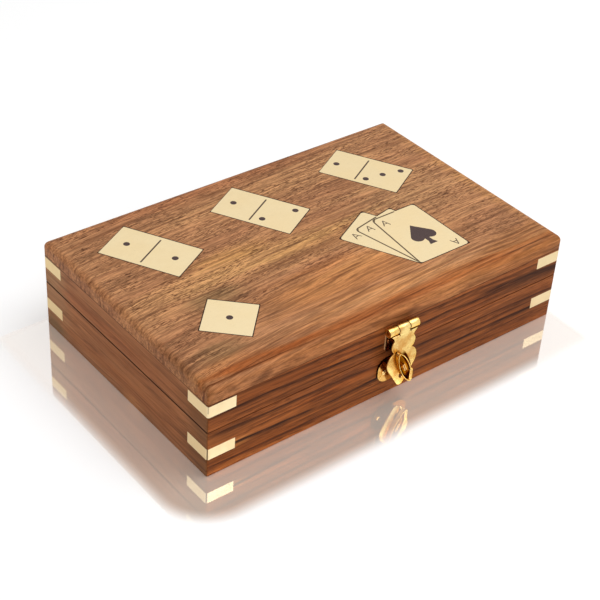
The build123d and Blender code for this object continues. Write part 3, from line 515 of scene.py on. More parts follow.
LID_SIDE_PATCHES = [
    (-60, 32, 16, 20, (1.08, 1.4, 1.6)), (68, 32, 24, 30, (0.6, 0.64, 0.62)),
    (-20, 28, 60, 5, (1.05, 0.98, 0.95))]
GLUE_MM = 39.0
frame_board("lid_front_board", LID_FRONT_LINES, LID_FRONT_PATCHES, (13, 7, 3), glue=GLUE_MM)
frame_board("lid_back_board", LID_FRONT_LINES, LID_FRONT_PATCHES, (77, 17, 2), (9, -1.4, 0), GLUE_MM)
frame_board("lid_left_board", LID_SIDE_LINES, LID_SIDE_PATCHES, (5, 9, 1), glue=GLUE_MM)
frame_board("lid_right_board", LID_SIDE_LINES, LID_SIDE_PATCHES, (41, 3, 7), (-17, 0, 0), GLUE_MM)


# --- Top board of the lid ---
# One thick board with its grain along X, rising to the right and levelling out. Its top edges are well
# rounded, its ends show end grain, and a dark line runs along the left half of its front rim.
FLAT = laid((1, 0, 0), (0, 1, 0))
TOP_SHADES = ((204, 147, 101), (186, 130, 90), (132, 86, 58), (104, 66, 44))
TOP_LINES = [(-108, -61.5, -50, -61.1, 0.85, 1.0), (-62, -61.4, -10, -61.6, 0.8, 0.6),
    (-100, 52.0, -60, 56.0, 1.6, 0.45), (-40, 54.0, 60, 57.5, 1.8, 0.4),
    (-96, 30.0, -78, 33.0, 1.4, 0.3), (-30, 38.0, 4, 41.0, 1.5, 0.35), (30, 25.0, 56, 26.0, 1.5, 0.3),
    (20, 12.0, 60, 14.0, 1.6, 0.3), (-50, -22.0, 30, -19.0, 1.6, 0.35),
    (-40, -10.0, 20, -8.0, 1.4, 0.25), (-46, -49.0, 26, -46.0, 1.8, 0.35),
    (-96, -52.0, -40, -48.0, 1.6, 0.3), (66, -8.0, 100, -9.0, 1.4, 0.3), (70, 45.0, 100, 44.0, 1.5, 0.3)]
TOP_PATCHES = [(-22, 1, 70, 11, (1.14, 1.2, 1.08)), (-6, -34, 56, 17, (1.12, 1.02, 0.8)),
    (0, -70, 170, 20, (0.94, 0.79, 0.6)), (-86, -54, 22, 6, (1.04, 0.94, 0.84)),
    (-20, 61, 100, 6, (1.0, 0.9, 0.86)), (-70, -8, 60, 12, (1.1, 1.14, 1.1)),
    (4, -6, 40, 9, (1.1, 1.12, 1.04)), (82, -58, 34, 14, (0.88, 0.82, 0.72)),
    (10, 48, 120, 14, (1.04, 1.08, 1.06)), (64, 4, 40, 22, (1.1, 1.2, 1.2)),
    (-83, -46, 15, 8, (0.8, 0.88, 0.86)), (-62, -15, 18, 9, (0.74, 0.84, 0.84)),
    (-80, 34, 30, 28, (0.88, 0.86, 0.86)), (58, -58.5, 9, 1.8, (0.72, 0.6, 0.5)),
    (100, 0, 8, 70, (1.08, 1.08, 0.95)), (10, -60, 110, 4.2, (0.85, 0.66, 0.5)),
    (-74, -58.4, 40, 3.0, (0.9, 0.72, 0.55)), (0, -51, 66, 6.5, (1.2, 1.2, 1.1)),
    (-4, -21, 26, 6, (1.2, 1.15, 1.12)), (60, -36, 20, 12, (0.94, 0.94, 0.9)),
    (-40, 9, 26, 7, (1.12, 1.14, 0.98)), (0, 36, 20, 14, (0.9, 0.88, 0.88)),
    (-105, 0, 7, 160, (0.76, 0.66, 0.6)), (-105, -60, 8, 50, (0.76, 0.76, 0.72))]
SMOOTH_TOP = [(-12, -40, 62, 20), (0, -74, 210, 29), (-103, 0, 5, 260), (103, 0, 5, 260)]
DOMINO_HALF_MM = (20.25, 11.85)
DOMINO_TURN = math.radians(-61)
DOMINO_MIDDLES_MM = ((-66.0, 30.7), (-4.4, 30.7), (61.0, 30.7))
SQUARE_HALF_MM = 11.25
SQUARE_MIDDLE_MM = (-65.7, -29.4)
SQUARE_TURN = math.radians(45.5)
FAN_OUTLINE_MM = [
    (30.2, -44.6), (11.9, -9.0), (35.1, 3.0), (38.7, -3.9), (48.2, -2.0), (48.9, -5.3), (60.2, -5.3),
    (60.2, -44.6), (30.2, -44.6)]


def path_cuts(path, middle=(0, 0), turn=0.0):
    """The cuts from each point of a path to the next, once it is turned and set about a middle."""
    placed = [(middle[0] + x * math.cos(turn) - y * math.sin(turn),
        middle[1] + x * math.sin(turn) + y * math.cos(turn)) for x, y in path]
    return list(zip(placed, placed[1:]))


half_long, half_wide = DOMINO_HALF_MM
plate_cuts = path_cuts(FAN_OUTLINE_MM)
for middle in DOMINO_MIDDLES_MM:
    plate_cuts += path_cuts([(-half_long, half_wide), (half_long, half_wide), (half_long, -half_wide),
        (-half_long, -half_wide)], middle, DOMINO_TURN)
plate_cuts += path_cuts([(SQUARE_HALF_MM * x, SQUARE_HALF_MM * y) for x,
    y in ((1, 1), (-1, 1), (-1, -1), (1, -1), (1, 1))], SQUARE_MIDDLE_MM, SQUARE_TURN)
lid_top_wood = wood("lid_top_wood", FLAT, TOP_SHADES, 0.8, 1.1, 1.0, TOP_LINES, TOP_PATCHES,
    shift=(3, 3, 3), fibre=1.25, line_colour=(96, 46, 18), rings=0.3, sweep=(0.055, -0.000275),
    smooth=SMOOTH_TOP, cuts=plate_cuts)
dress(lid_top_wood, "lid_top_board")


# --- Inside of the base ---
# A panel let in under the boards, and two thin partitions housed in them, of the same wood left paler.
INSIDE_SHADES = ((196, 146, 102), (178, 126, 86), (146, 98, 64), (112, 72, 48))
dress(wood("long_divider_wood", ALONG_FRONT, INSIDE_SHADES, 0.4, 0.5, 2.0), "long_divider")
dress(wood("short_divider_wood", ALONG_SIDE, INSIDE_SHADES, 0.4, 0.5, 2.0, shift=(9, 4, 0)),
    "short_divider")
dress(wood("floor_panel_wood", FLAT, INSIDE_SHADES, 0.5, 0.6, 2.0, shift=(20, 8, 5)), "base_floor_panel")


# --- Linings ---
# Card pads faced with maroon felt, cut to fit. Three are laid on the base's floor, and one is glued up
# under the lid's top board. Their edges are soft, and the nap leans in patches.
FELT_CLEARANCE = 0.0003
FELT_SOFT_EDGE = 0.0012
FELT_WAVE = 0.00006
FELT_STEP = 0.0012

felt, tree, out = new_material("maroon_felt")
place = place_mm(tree)
lean = noise(tree, stretched(tree, place, 16, 11), 3.0, 0.6)
tuft = noise(tree, stretched(tree, place, 0.5, 0.5), 4.0, 0.7)
shade = blend(tree, ramp(tree, lean, 0.3, 0.7), colour(96, 14, 24), colour(132, 24, 34))
shade = blend(tree, ramp(tree, tuft, 0.35, 0.7), shade, colour(156, 46, 52))
nap_bump = put(tree, "ShaderNodeBump", {"Strength": 0.7, "Distance": 0.0002, "Height": tuft})
nap = put(tree, "ShaderNodeBsdfPrincipled", {"Base Color": shade, "Roughness": 0.95,
    "Specular IOR Level": 0.1, "Sheen Weight": 0.35, "Sheen Roughness": 0.5,
    "Sheen Tint": (0.9, 0.5, 0.5, 1.0), "Normal": nap_bump.outputs[0]})
tree.links.new(nap.outputs[0], out.inputs["Surface"])


def surface(name, points, material, body, round_first=False, caps=False):
    """A piece from a grid of points, given as rows of (x, y, z). Rows close on themselves if round_first,
    and caps close the first and last row. Points that coincide are joined."""
    rows, count = points.shape[:2]
    index = np.arange(rows * count).reshape(rows, count)
    if round_first:
        index = np.concatenate([index, index[:, :1]], axis=1)
    corners = [index[:-1, :-1], index[:-1, 1:], index[1:, 1:], index[1:, :-1]]
    faces = np.stack(corners, axis=-1).reshape(-1, 4).tolist()
    if caps:
        faces += [index[0, :count][::-1].tolist(), index[-1, :count].tolist()]
    mesh = bpy.data.meshes.new(name)
    mesh.from_pydata(points.reshape(-1, 3).tolist(), [], faces)
    shell = bmesh.new()
    shell.from_mesh(mesh)
    bmesh.ops.remove_doubles(shell, verts=shell.verts, dist=1e-6)
    bmesh.ops.dissolve_degenerate(shell, edges=shell.edges, dist=1e-7)
    bmesh.ops.recalc_face_normals(shell, faces=shell.faces)
    shell.to_mesh(mesh)
    shell.free()
    mesh.shade_smooth()
    mesh.materials.append(material)
    piece = bpy.data.objects.new(name, mesh)
    bpy.context.scene.collection.objects.link(piece)
    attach(piece, body)
    return piece


def pad_surface(low, high, faces_up):
    """Points of a thin pad. A closed profile runs along each line of Y: out over the soft face, whose
    height falls away near the edges as 1 - (distance to the edge / soft edge - 1)^4 and has slow waves,
    and back along the flat side."""
    def rounded(along, start, end):
        near = np.clip(np.minimum(along - start, end - along) / FELT_SOFT_EDGE, 0, 1)
        return np.clip(1 - (1 - near) ** 4, 0, 1)
    def stations(start, end):
        edge = start + FELT_SOFT_EDGE * np.array([0, 0.08, 0.25, 0.5])
        middle = np.linspace(start + FELT_SOFT_EDGE, end - FELT_SOFT_EDGE,
            int((end - start) / FELT_STEP / 3))
        return np.concatenate([edge, middle, (start + end) - edge[::-1]])
    x, y = stations(low[0], high[0]), stations(low[1], high[1])
    across, along = np.meshgrid(x, y)
    thick = high[2] - low[2] - FELT_WAVE
    rise = rounded(across, low[0], high[0]) * rounded(along, low[1], high[1]) * (
        thick + FELT_WAVE * np.sin(across / 0.011) * np.cos(along / 0.008))
    soft = low[2] + rise if faces_up else high[2] - rise
    flat = np.full_like(soft, low[2] if faces_up else high[2])
    there = np.stack([across, along, soft], axis=-1)
    back = np.stack([across, along, flat], axis=-1)[:, ::-1]
    return np.concatenate([there, back], axis=1)


for lining, carrier, body in (
        ("domino_trough_lining", "base_floor_panel", "base"),
        ("card_pocket_left_lining", "base_floor_panel", "base"),
        ("card_pocket_right_lining", "base_floor_panel", "base"),
        ("lid_lining", "lid_top_board", "lid")):
    low, high = (np.array(corner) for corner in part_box(lining))
    low[:2] += FELT_CLEARANCE
    high[:2] -= FELT_CLEARANCE
    pad = surface("felt_" + lining, pad_surface(low, high, body == "base"), felt, body, round_first=True)
    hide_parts(lining)


# --- Corner straps ---
# Flush brass straps round the upright edges, filed and sanded with the wood, so their faces are satin with
# fine scratches. The lid's are folded round the corner, with painted shade down the crease, and the base's
# meet at a mitre.

# The sanded or polished finish of brass, at a place in millimetres: cloudy tarnish from bright to dull,
# fine scratches along X, and small pits.
brass_finish, given, result = new_group("brass_finish",
    [("Place", "Vector"), ("Bright", "Color"), ("Dull", "Color"), ("Cloud", "Float"),
    ("Smooth", "Float"), ("Rough", "Float")], [("Colour", "Color"), ("Roughness", "Float"),
    ("Height", "Float")])
tree = brass_finish
cloud_place = put(tree, "ShaderNodeVectorMath", {0: given["Place"],
    1: joined(tree, given["Cloud"], given["Cloud"], given["Cloud"])}, operation="DIVIDE").outputs[0]
cloud = ramp(tree, noise(tree, cloud_place, 3.0, 0.6), 0.35, 0.68)
scratch = noise(tree, stretched(tree, given["Place"], 4.0, 0.12, 2.2), 2.0, 0.6)
pit = ramp(tree, noise(tree, stretched(tree, given["Place"], 0.5, 0.5, 8.8), 1.0), 0.68, 0.76)
shade = blend(tree, cloud, given["Bright"], given["Dull"])
shade = scaled(tree, shade, reckon(tree, "SUBTRACT", ramp(tree, scratch, 0.3, 0.7, 0.97, 1.02),
    reckon(tree, "MULTIPLY", pit, 0.12)))
tree.links.new(shade, result["Colour"])
worn = put(tree, "ShaderNodeMapRange", {"Value": reckon(tree, "MULTIPLY_ADD", scratch, 0.5,
    reckon(tree, "MULTIPLY", cloud, 0.5)), "To Min": given["Smooth"],
    "To Max": given["Rough"]}).outputs[0]
tree.links.new(worn, result["Roughness"])
tree.links.new(reckon(tree, "SUBTRACT", reckon(tree, "MULTIPLY", scratch, 0.5), pit), result["Height"])


GLANCE_TINT = (0.5, 0.32, 0.16, 1)      # warms the metal's glint at low angles


def brass(name, bright, dull, cloud, smooth, rough, relief, overlay=None):
    """Brass of two shades in clouds of that many millimetres. The relief is its scratches' depth. An overlay
    is a function of the tree and the place in millimetres, for wax stains and for painted shade and
    highlights. It gives a mask, the colour under it and, if the metal is dulled there, by how much."""
    material, tree, out = new_material(name)
    place = place_mm(tree)
    finish = put(tree, "ShaderNodeGroup", {"Place": place, "Bright": colour(*bright),
        "Dull": colour(*dull), "Cloud": cloud, "Smooth": smooth, "Rough": rough}, node_tree=brass_finish)
    shade = finish.outputs["Colour"]
    metallic = 1.0
    if overlay:
        mask, overlaid, *dulled = overlay(tree, place)
        shade = blend(tree, mask, shade, overlaid)
        metallic = reckon(tree, "SUBTRACT", 1.0, dulled[0]) if dulled else 1.0
    bump = put(tree, "ShaderNodeBump", {"Strength": 0.6, "Distance": relief,
        "Height": finish.outputs["Height"]})
    metal = put(tree, "ShaderNodeBsdfPrincipled", {"Base Color": shade, "Specular Tint": GLANCE_TINT,
        "Roughness": finish.outputs["Roughness"], "Metallic": metallic, "Normal": bump.outputs[0]})
    tree.links.new(metal.outputs[0], out.inputs["Surface"])
    return material


SATIN_BRIGHT = (239, 220, 179)
SATIN_DULL = (235, 215, 173)
CREASE_HALF_MM = 0.22
# The painted shade down the crease of a folded strap.
CREASE_SHADE_BROWN = (84, 56, 36)
corner_mm = [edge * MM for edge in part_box("lid_top_board")[1][:2]]
crease_foot_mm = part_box("lid_strap_front_left")[0][2] * MM + 2.2


def crease_shade(tree, place):
    """Painted shade down the crease on the mitre line of a folded strap, over its upper part: where the
    distances to the two faces are alike."""
    spot = parted(tree, vector_step(tree, "ABSOLUTE", place))
    apart = reckon(tree, "ABSOLUTE", reckon(tree, "SUBTRACT",
        reckon(tree, "SUBTRACT", spot["X"], corner_mm[0]),
        reckon(tree, "SUBTRACT", spot["Y"], corner_mm[1])))
    line = ramp(tree, apart, 0.5 * CREASE_HALF_MM, CREASE_HALF_MM, 1.0, 0.0)
    high = ramp(tree, spot["Z"], crease_foot_mm - 0.3, crease_foot_mm + 0.3)
    return reckon(tree, "MULTIPLY", line, high), colour(*CREASE_SHADE_BROWN)


strap_brass = brass("strap_brass", SATIN_BRIGHT, SATIN_DULL, 9, 0.34, 0.5, 0.00001)
folded_strap_brass = brass("folded_strap_brass", SATIN_BRIGHT, SATIN_DULL, 9, 0.34, 0.5, 0.00001,
    overlay=crease_shade)
dress(strap_brass, *[n for n in nodes if n.startswith("base_strap")])
dress(folded_strap_brass, *[n for n in nodes if n.startswith("lid_strap")])


# --- Plates let into the lid ---
# Thin sheet brass sawn to the outline, bedded in dark filler in a routed pocket and sanded flush. The
# engraving is filled with dark wax, black in the pips and the spade and brown in the fine lines.
WAX_CREEP_MM = 0.5
WAX_BROWN = (58, 42, 26)
DOMINO_LINES_MM = (0.0, -1.3, -2.2)     # along each domino from its middle
DOMINO_LINE_HALF_MM = 9.6
CARD_EDGES_MM = [(30.3, -43.8), (34.0, -7.2), (35.9, -5.3), (48.0, -5.3)]
BACK_CARD_EDGES_MM = [(30.2, -43.8), (22.9, -8.9), (24.3, -6.8), (37.8, -4.1)]
domino_cuts = []
for middle, line in zip(DOMINO_MIDDLES_MM, DOMINO_LINES_MM):
    domino_cuts += path_cuts([(line, -DOMINO_LINE_HALF_MM), (line, DOMINO_LINE_HALF_MM)], middle,
        DOMINO_TURN)
card_cuts = path_cuts(CARD_EDGES_MM) + path_cuts(BACK_CARD_EDGES_MM)


def wax_beside(cuts, depth):
    """A stain for brass: wax that has crept out beside filled cuts."""
    def overlay(tree, place):
        creep = cut_mask(tree, place, cuts, WAX_CREEP_MM)
        return reckon(tree, "MULTIPLY", creep, depth), colour(*WAX_BROWN)
    return overlay


domino_brass = brass("domino_brass", SATIN_BRIGHT, SATIN_DULL, 14, 0.36, 0.5, 0.000008,
    overlay=wax_beside(domino_cuts, 0.9))
fan_brass = brass("fan_brass", SATIN_BRIGHT, SATIN_DULL, 14, 0.36, 0.5, 0.000008,
    overlay=wax_beside(card_cuts, 0.8))
dress(domino_brass, "domino_inlay_left", "domino_inlay_middle", "domino_inlay_right", "square_inlay")
dress(fan_brass, "card_fan_inlay")


def wax_filling(name, deep, pale):
    """Hard wax with a slightly cloudy, grainy face."""
    material, tree, out = new_material(name)
    place = place_mm(tree)
    grains = noise(tree, stretched(tree, place, 0.35, 0.35), 3.0, 0.6)
    shade = blend(tree, ramp(tree, grains, 0.35, 0.7), colour(*deep), colour(*pale))
    bump = put(tree, "ShaderNodeBump", {"Strength": 0.4, "Distance": 0.00003, "Height": grains})
    wax = put(tree, "ShaderNodeBsdfPrincipled", {"Base Color": shade, "Roughness": 0.55,
        "Specular IOR Level": 0.3, "Normal": bump.outputs[0]})
    tree.links.new(wax.outputs[0], out.inputs["Surface"])
    return material


dress(wax_filling("black_wax", (58, 40, 38), (78, 56, 52)), "domino_marks", "square_mark", "card_spade")
dress(wax_filling("brown_wax", (58, 40, 26), (84, 62, 42)), "card_lines", "card_letters")
dress(wax_filling("dark_filler", (34, 20, 12), (56, 36, 22)), "inlay_filler")


# --- Back hinges ---
# Two pressed brass butt hinges let into the rims, their knuckles rolled round a steel-hard brass pin and
# their leaves held by countersunk slotted screws.
hinge_brass = brass("hinge_brass", (238, 208, 136), (214, 174, 104), 5, 0.24, 0.42, 0.000012)
screw_brass = brass("screw_brass", (242, 214, 146), (206, 164, 98), 1.5, 0.2, 0.36, 0.000008)
dress(hinge_brass, *[n for n in nodes if "_hinge_" in n and n.endswith("leaf")])
dress(screw_brass, "hinge_base_screws", "hinge_lid_screws", "left_hinge_pin", "right_hinge_pin")


# --- Clasp: mount leaf, keeper and nails ---
# Stamped brass, polished, with painted shade where other parts cover it and a painted highlight on the mount
# leaf's cut edges. The mount leaf has two rolled knuckles and is nailed to the lid. The keeper with its lugs
# is nailed to the base.
GOLD_BRIGHT = (246, 214, 134)
GOLD_DULL = (222, 174, 92)
# Painted shade on the mount leaf fades out between these heights.
MOUNT_SHADE_MM = (34.8, 35.6)
KNUCKLE_HALF_MM = 3.1
# Half width of the painted shade at the gaps between the knuckles.
GAP_SHADE_MM = 0.32


def knuckle_gap_shade(tree, place):
    """Mask of painted shade at the two gaps between the knuckles."""
    across = parted(tree, vector_step(tree, "ABSOLUTE", place))["X"]
    from_gap = reckon(tree, "ABSOLUTE", reckon(tree, "SUBTRACT", across, KNUCKLE_HALF_MM + 0.1))
    return ramp(tree, from_gap, 0.6 * GAP_SHADE_MM, GAP_SHADE_MM, 1.0, 0.0)


def cut_edge(tree):
    """Mask of the edges of sheet brass that lies against the front, where the face turns to the side."""
    facing = parted(tree, put(tree, "ShaderNodeTexCoord").outputs["Normal"])
    return ramp(tree, reckon(tree, "ABSOLUTE", facing["Y"]), 0.4, 0.8, 1.0, 0.0)


# Painted shade on the mount leaf, and a pale painted highlight on its cut edges there.
MOUNT_SHADE = (150, 92, 54)
MOUNT_EDGE_HIGHLIGHT = (206, 160, 118)
# Painted shade and reflection on the keeper, and a darker painted shadow on its cut edges.
KEEPER_SHADE = (132, 70, 32)
KEEPER_EDGE_SHADOW = (50, 20, 8)


def covered_shade(tree, place):
    """Painted shade on the mount leaf below its barrel, where the drop leaf covers it, and in the gaps. Its
    cut edges there carry a pale, dull painted highlight."""
    spot = parted(tree, place)
    low = ramp(tree, spot["Z"], MOUNT_SHADE_MM[0], MOUNT_SHADE_MM[1], 0.9, 0.0)
    lit_edge = reckon(tree, "MULTIPLY", cut_edge(tree), low)
    shade = blend(tree, lit_edge, colour(*MOUNT_SHADE), colour(*MOUNT_EDGE_HIGHLIGHT))
    return reckon(tree, "MAXIMUM", low, knuckle_gap_shade(tree, place)), shade, lit_edge


def keeper_shade_and_reflection(tree, place):
    """Painted shade and reflection on the keeper, and a darker painted shadow on its cut edges, but for a
    crescent at its lower left that is left bright."""
    spot = parted(tree, place)
    slant = reckon(tree, "MULTIPLY_ADD", spot["X"], 1.9, spot["Z"])
    edge = cut_edge(tree)
    shade = blend(tree, edge, colour(*KEEPER_SHADE), colour(*KEEPER_EDGE_SHADOW))
    return reckon(tree, "MAXIMUM", edge, ramp(tree, slant, -0.8, 1.0, 0.0, 0.85)), shade


mount_brass = brass("mount_brass", GOLD_BRIGHT, GOLD_DULL, 3.5, 0.18, 0.32, 0.000012, overlay=covered_shade)
keeper_brass = brass("keeper_brass", (232, 190, 116), (206, 154, 80), 3, 0.18, 0.32, 0.000014,
    overlay=keeper_shade_and_reflection)
tongue_brass = brass("tongue_brass", GOLD_BRIGHT, GOLD_DULL, 4, 0.18, 0.32, 0.000014)
nail_brass = brass("nail_brass", (252, 232, 170), (226, 180, 104), 1.2, 0.16, 0.28, 0.000006)
# Painted shade: a darker copy of the nail brass for the nails that sit under the drop leaf.
shaded_nail_brass = brass("shaded_nail_brass", (150, 96, 56), (120, 70, 38), 1.2, 0.2, 0.32, 0.000006)
# Painted shade: the pin's ends, in shade at the barrel's ends, get a darker copy of brass.
pin_brass = brass("pin_brass", (150, 104, 56), (110, 70, 38), 1.5, 0.25, 0.4, 0.000008)
dress(mount_brass, "hasp_mount_leaf")


def eased(name, width_mm):
    """Rounds the edges of a CAD piece of sheet brass a little, so that they catch the light."""
    weld = nodes[name].modifiers.new("weld", "WELD")
    weld.merge_threshold = 0.000001
    bevel = nodes[name].modifiers.new("eased", "BEVEL")
    bevel.width = width_mm / MM
    bevel.segments = 2
    bevel.limit_method = "ANGLE"
    bevel.angle_limit = math.radians(50)


EASED_MM = 0.1
eased("hasp_mount_leaf", EASED_MM)
eased("keeper_plate", EASED_MM)
dress(keeper_brass, "keeper_plate")
dress(tongue_brass, "turn_tongue")
dress(nail_brass, "keeper_nails")
dress(shaded_nail_brass, "hasp_mount_nails")
dress(pin_brass, "hasp_pin")


# --- Clasp: drop leaf ---
# A scalloped leaf stamped from sheet brass and domed a little, with its middle knuckle rolled round the
# hasp's pin. It is pierced with an eye near its tip, and has painted shadow and reflection round the loop
# that turns on it.
WING_HALF_MM = 7.6
WING_DROP_MM = 1.65
WING_HOLLOW_MM = 0.5
UPPER_LOBE_MM = (2.75, 7.85, 4.15)      # from the middle, below the barrel's axis, radius
LOWER_LOBE_MM = (2.1, 17.1, 6.5)
TIP_MM = (0.0, 28.5, 2.3)
EYE_DROP_MM = 24.8
EYE_HALF_MM = (1.25, 2.0)
KNUCKLE_BEVEL_MM = 0.14
KNUCKLE_FRONT_MM = 0.4                  # the barrel's front lies this far behind the leaf's
SHEET_MM = 0.8
LEAF_EDGE_MM = 0.3
LEAF_DOME_MM = 0.4

pin_low, pin_high = (np.array(corner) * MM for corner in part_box("hasp_pin"))
axis_y, axis_z = (pin_low[1] + pin_high[1]) / 2, (pin_low[2] + pin_high[2]) / 2
barrel_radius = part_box("hasp_mount_leaf")[1][2] * MM - axis_z
leaf_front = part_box("hasp_drop_leaf")[0][1] * MM


def leaf_half_width(drop):
    """Half the drop leaf's width at a drop below the barrel's axis. It is the widest there of the wings,
    whose slant is a line less a parabola, of the upper and lower lobes and the tip, which are circles,
    and of the straight flank that touches the lower lobe and the tip."""
    def circle(spread, middle, radius):
        inside = radius ** 2 - (drop - middle) ** 2
        return np.where(inside > 0, spread + np.sqrt(np.maximum(inside, 0)), 0)
    spread, middle, radius = UPPER_LOBE_MM
    neck_half, neck_drop = spread + radius / math.sqrt(2), middle - radius / math.sqrt(2)
    share = (drop - WING_DROP_MM) / (neck_drop - WING_DROP_MM)
    slant = WING_HALF_MM + (neck_half - WING_HALF_MM) * share - 4 * WING_HOLLOW_MM * share * (1 - share)
    wing = np.where(share <= 1, slant, 0)
    lobe, tip = LOWER_LOBE_MM, TIP_MM
    gap = (tip[0] - lobe[0], tip[1] - lobe[1])
    lean = math.atan2(gap[1], gap[0]) - math.acos((lobe[2] - tip[2]) / math.hypot(*gap))
    flank = (lobe[0] * math.cos(lean) + lobe[1] * math.sin(lean) + lobe[2] - drop * math.sin(
        lean)) / math.cos(lean)
    touches = (drop > lobe[1] + lobe[2] * math.sin(lean)) & (drop < tip[1] + tip[2] * math.sin(lean))
    widths = [wing, circle(*UPPER_LOBE_MM), circle(*LOWER_LOBE_MM), circle(*TIP_MM),
        np.where(touches, flank, 0)]
    return np.max(widths, axis=0)


def leaf_points():
    """The domed plate. Each row is a closed profile across the leaf: the front, whose depth falls by the
    dome towards the edge and by a quarter circle at it, and the back the same way round."""
    foot = TIP_MM[1] + TIP_MM[2]
    neck = np.linspace(-0.1, WING_DROP_MM, 8)
    drop = np.concatenate([neck, np.linspace(WING_DROP_MM, foot - 0.5, 96),
        foot - 0.5 * np.cos(np.linspace(0, math.pi / 2, 9))[1:]])
    half = leaf_half_width(drop)
    half[:len(neck)] = KNUCKLE_HALF_MM
    half = half[:, None]
    sunk = KNUCKLE_FRONT_MM * np.clip(1 - drop[:, None] / (1.5 * WING_DROP_MM), 0, 1.05) ** 2
    spread = np.sin(np.linspace(-math.pi / 2, math.pi / 2, 33))[None, :]
    x = half * spread
    edge = np.minimum(LEAF_EDGE_MM, half) + 1e-9
    over = np.clip((np.abs(x) - (half - edge)) / edge, 0, 1)
    rounding = edge * (1 - np.sqrt(1 - over ** 2))
    from_end = np.clip((foot - drop[:, None]) / 5.0, 0, 1)
    dome = LEAF_DOME_MM * (np.abs(spread) ** 2.2 * (1 - (1 - from_end) ** 2) + (1 - from_end) ** 2)
    limit = SHEET_MM / 2
    front = leaf_front + sunk + dome + np.minimum(rounding, limit)
    back = leaf_front + SHEET_MM + sunk + dome - np.minimum(rounding, limit)
    z = np.broadcast_to(axis_z - drop[:, None], x.shape)
    there = np.stack([x, front, z], axis=-1)
    again = np.stack([x, back, z], axis=-1)[:, ::-1]
    return np.concatenate([there, again], axis=1) / MM


def rolled_knuckle(start, end, first_angle, last_angle):
    """A knuckle of sheet rolled round the pin, from one angle about the axis to another, counted from the
    front upwards. The closed profile is an arc outside and one inside, carried along X. It thins to its
    middle line at both ends, which rounds and closes them."""
    angle = np.linspace(first_angle, last_angle, 49)
    bevel = KNUCKLE_BEVEL_MM
    x = np.array([start, start, start + bevel * 0.3, start + bevel, end - bevel, end - bevel * 0.3, end,
        end])
    fat = np.array([0, 0.62, 0.88, 1, 1, 0.88, 0.62, 0])[:, None]
    middle = barrel_radius - SHEET_MM / 2
    radius = np.concatenate([middle + fat * SHEET_MM / 2 * np.ones_like(angle),
        middle - fat * SHEET_MM / 2 * np.ones_like(angle)], axis=1)
    around = np.concatenate([angle, angle[::-1]])[None, :]
    y = axis_y - radius * np.cos(around)
    z = axis_z + radius * np.sin(around)
    return np.stack([np.broadcast_to(x[:, None], y.shape), y, z], axis=-1) / MM


LOOP_TILT = math.radians(24)
LOOP_HALF_MM = (2.8, 10.1)
LOOP_Z_MM = 17.7
# The painted shadow's crescent lies this far aside of the loop; amber is painted reflection, dark is painted
# shadow.
SHADE_ASIDE_MM = 1.7
AMBER_REFLECTION = (190, 134, 56)
CRESCENT_SHADOW = (60, 24, 6)


def loop_reach(tree, place, aside=0.0):
    """Where a place lies by the loop, or by its outline moved aside: how far across, along and out from the
    middle it is, in the loop's own half sizes, so that the outline is 1."""
    local = put(tree, "ShaderNodeMapping", {"Vector": vector_step(tree, "SUBTRACT", place,
        (0, 0, LOOP_Z_MM)), "Rotation": (0, LOOP_TILT, 0)})
    spot = parted(tree, local.outputs[0])
    across = reckon(tree, "DIVIDE", reckon(tree, "SUBTRACT", spot["X"], aside), LOOP_HALF_MM[0])
    along = reckon(tree, "DIVIDE", spot["Z"], LOOP_HALF_MM[1])
    out_from = length(tree, joined(tree, across, along))
    return across, along, out_from


def painted_loop_shade(tree, place):
    """Painted shade on the leaf round the loop at rest: an amber painted reflection at its left, a dark
    painted shadow in a crescent at its right, and painted shade at the knuckles' gaps.
    """
    beside = loop_reach(tree, place, SHADE_ASIDE_MM)[2]
    across, along, out_from = loop_reach(tree, place)
    crescent = reckon(tree, "MULTIPLY", ramp(tree, beside, 0.9, 1.08, 1.0, 0.0),
        ramp(tree, across, 0.1, 0.5))
    crescent = reckon(tree, "MULTIPLY", crescent, ramp(tree, along, 0.5, 0.95, 1.0, 0.0))
    left = reckon(tree, "MULTIPLY", ramp(tree, out_from, 1.0, 2.7, 0.8, 0.0),
        ramp(tree, across, -0.5, 0.1, 1.0, 0.0))
    upper = ramp(tree, along, -0.6, 0.7, 0.5, 1.0)
    left = reckon(tree, "MULTIPLY", left, upper)
    above = parted(tree, place)["Z"]
    gaps = reckon(tree, "MULTIPLY", knuckle_gap_shade(tree, place),
        ramp(tree, above, axis_z - WING_DROP_MM - 0.6, axis_z - WING_DROP_MM))
    dark = reckon(tree, "MAXIMUM", crescent, gaps)
    amber = blend(tree, dark, colour(*AMBER_REFLECTION), colour(*CRESCENT_SHADOW))
    return reckon(tree, "MAXIMUM", dark, left, clamp=True), amber


leaf_brass = brass("leaf_brass", (243, 214, 140), (208, 156, 88), 5.5, 0.2, 0.34, 0.000016,
    overlay=painted_loop_shade)
plate = surface("scalloped_leaf", leaf_points(), leaf_brass, "hasp", round_first=True, caps=True)
cut_angles = np.linspace(0, 2 * math.pi, 25)[:-1]
cut_ring = np.stack([EYE_HALF_MM[0] * np.cos(cut_angles), np.zeros_like(cut_angles),
    EYE_HALF_MM[1] * np.sin(cut_angles) - EYE_DROP_MM + axis_z], axis=-1)
cut_depths = (leaf_front - 1.0, leaf_front + 2.5)  # well before and behind the leaf
cutter = surface("eye_cutter", np.stack([cut_ring + (0, depth, 0) for depth in cut_depths]) / MM,
    leaf_brass, "hasp", round_first=True, caps=True)
cut = plate.modifiers.new("eye", "BOOLEAN")
cut.object = cutter
cut.solver = "EXACT"
seen_now = bpy.context.evaluated_depsgraph_get()
plate.data = bpy.data.meshes.new_from_object(plate.evaluated_get(seen_now))
plate.modifiers.clear()
bpy.data.objects.remove(cutter)

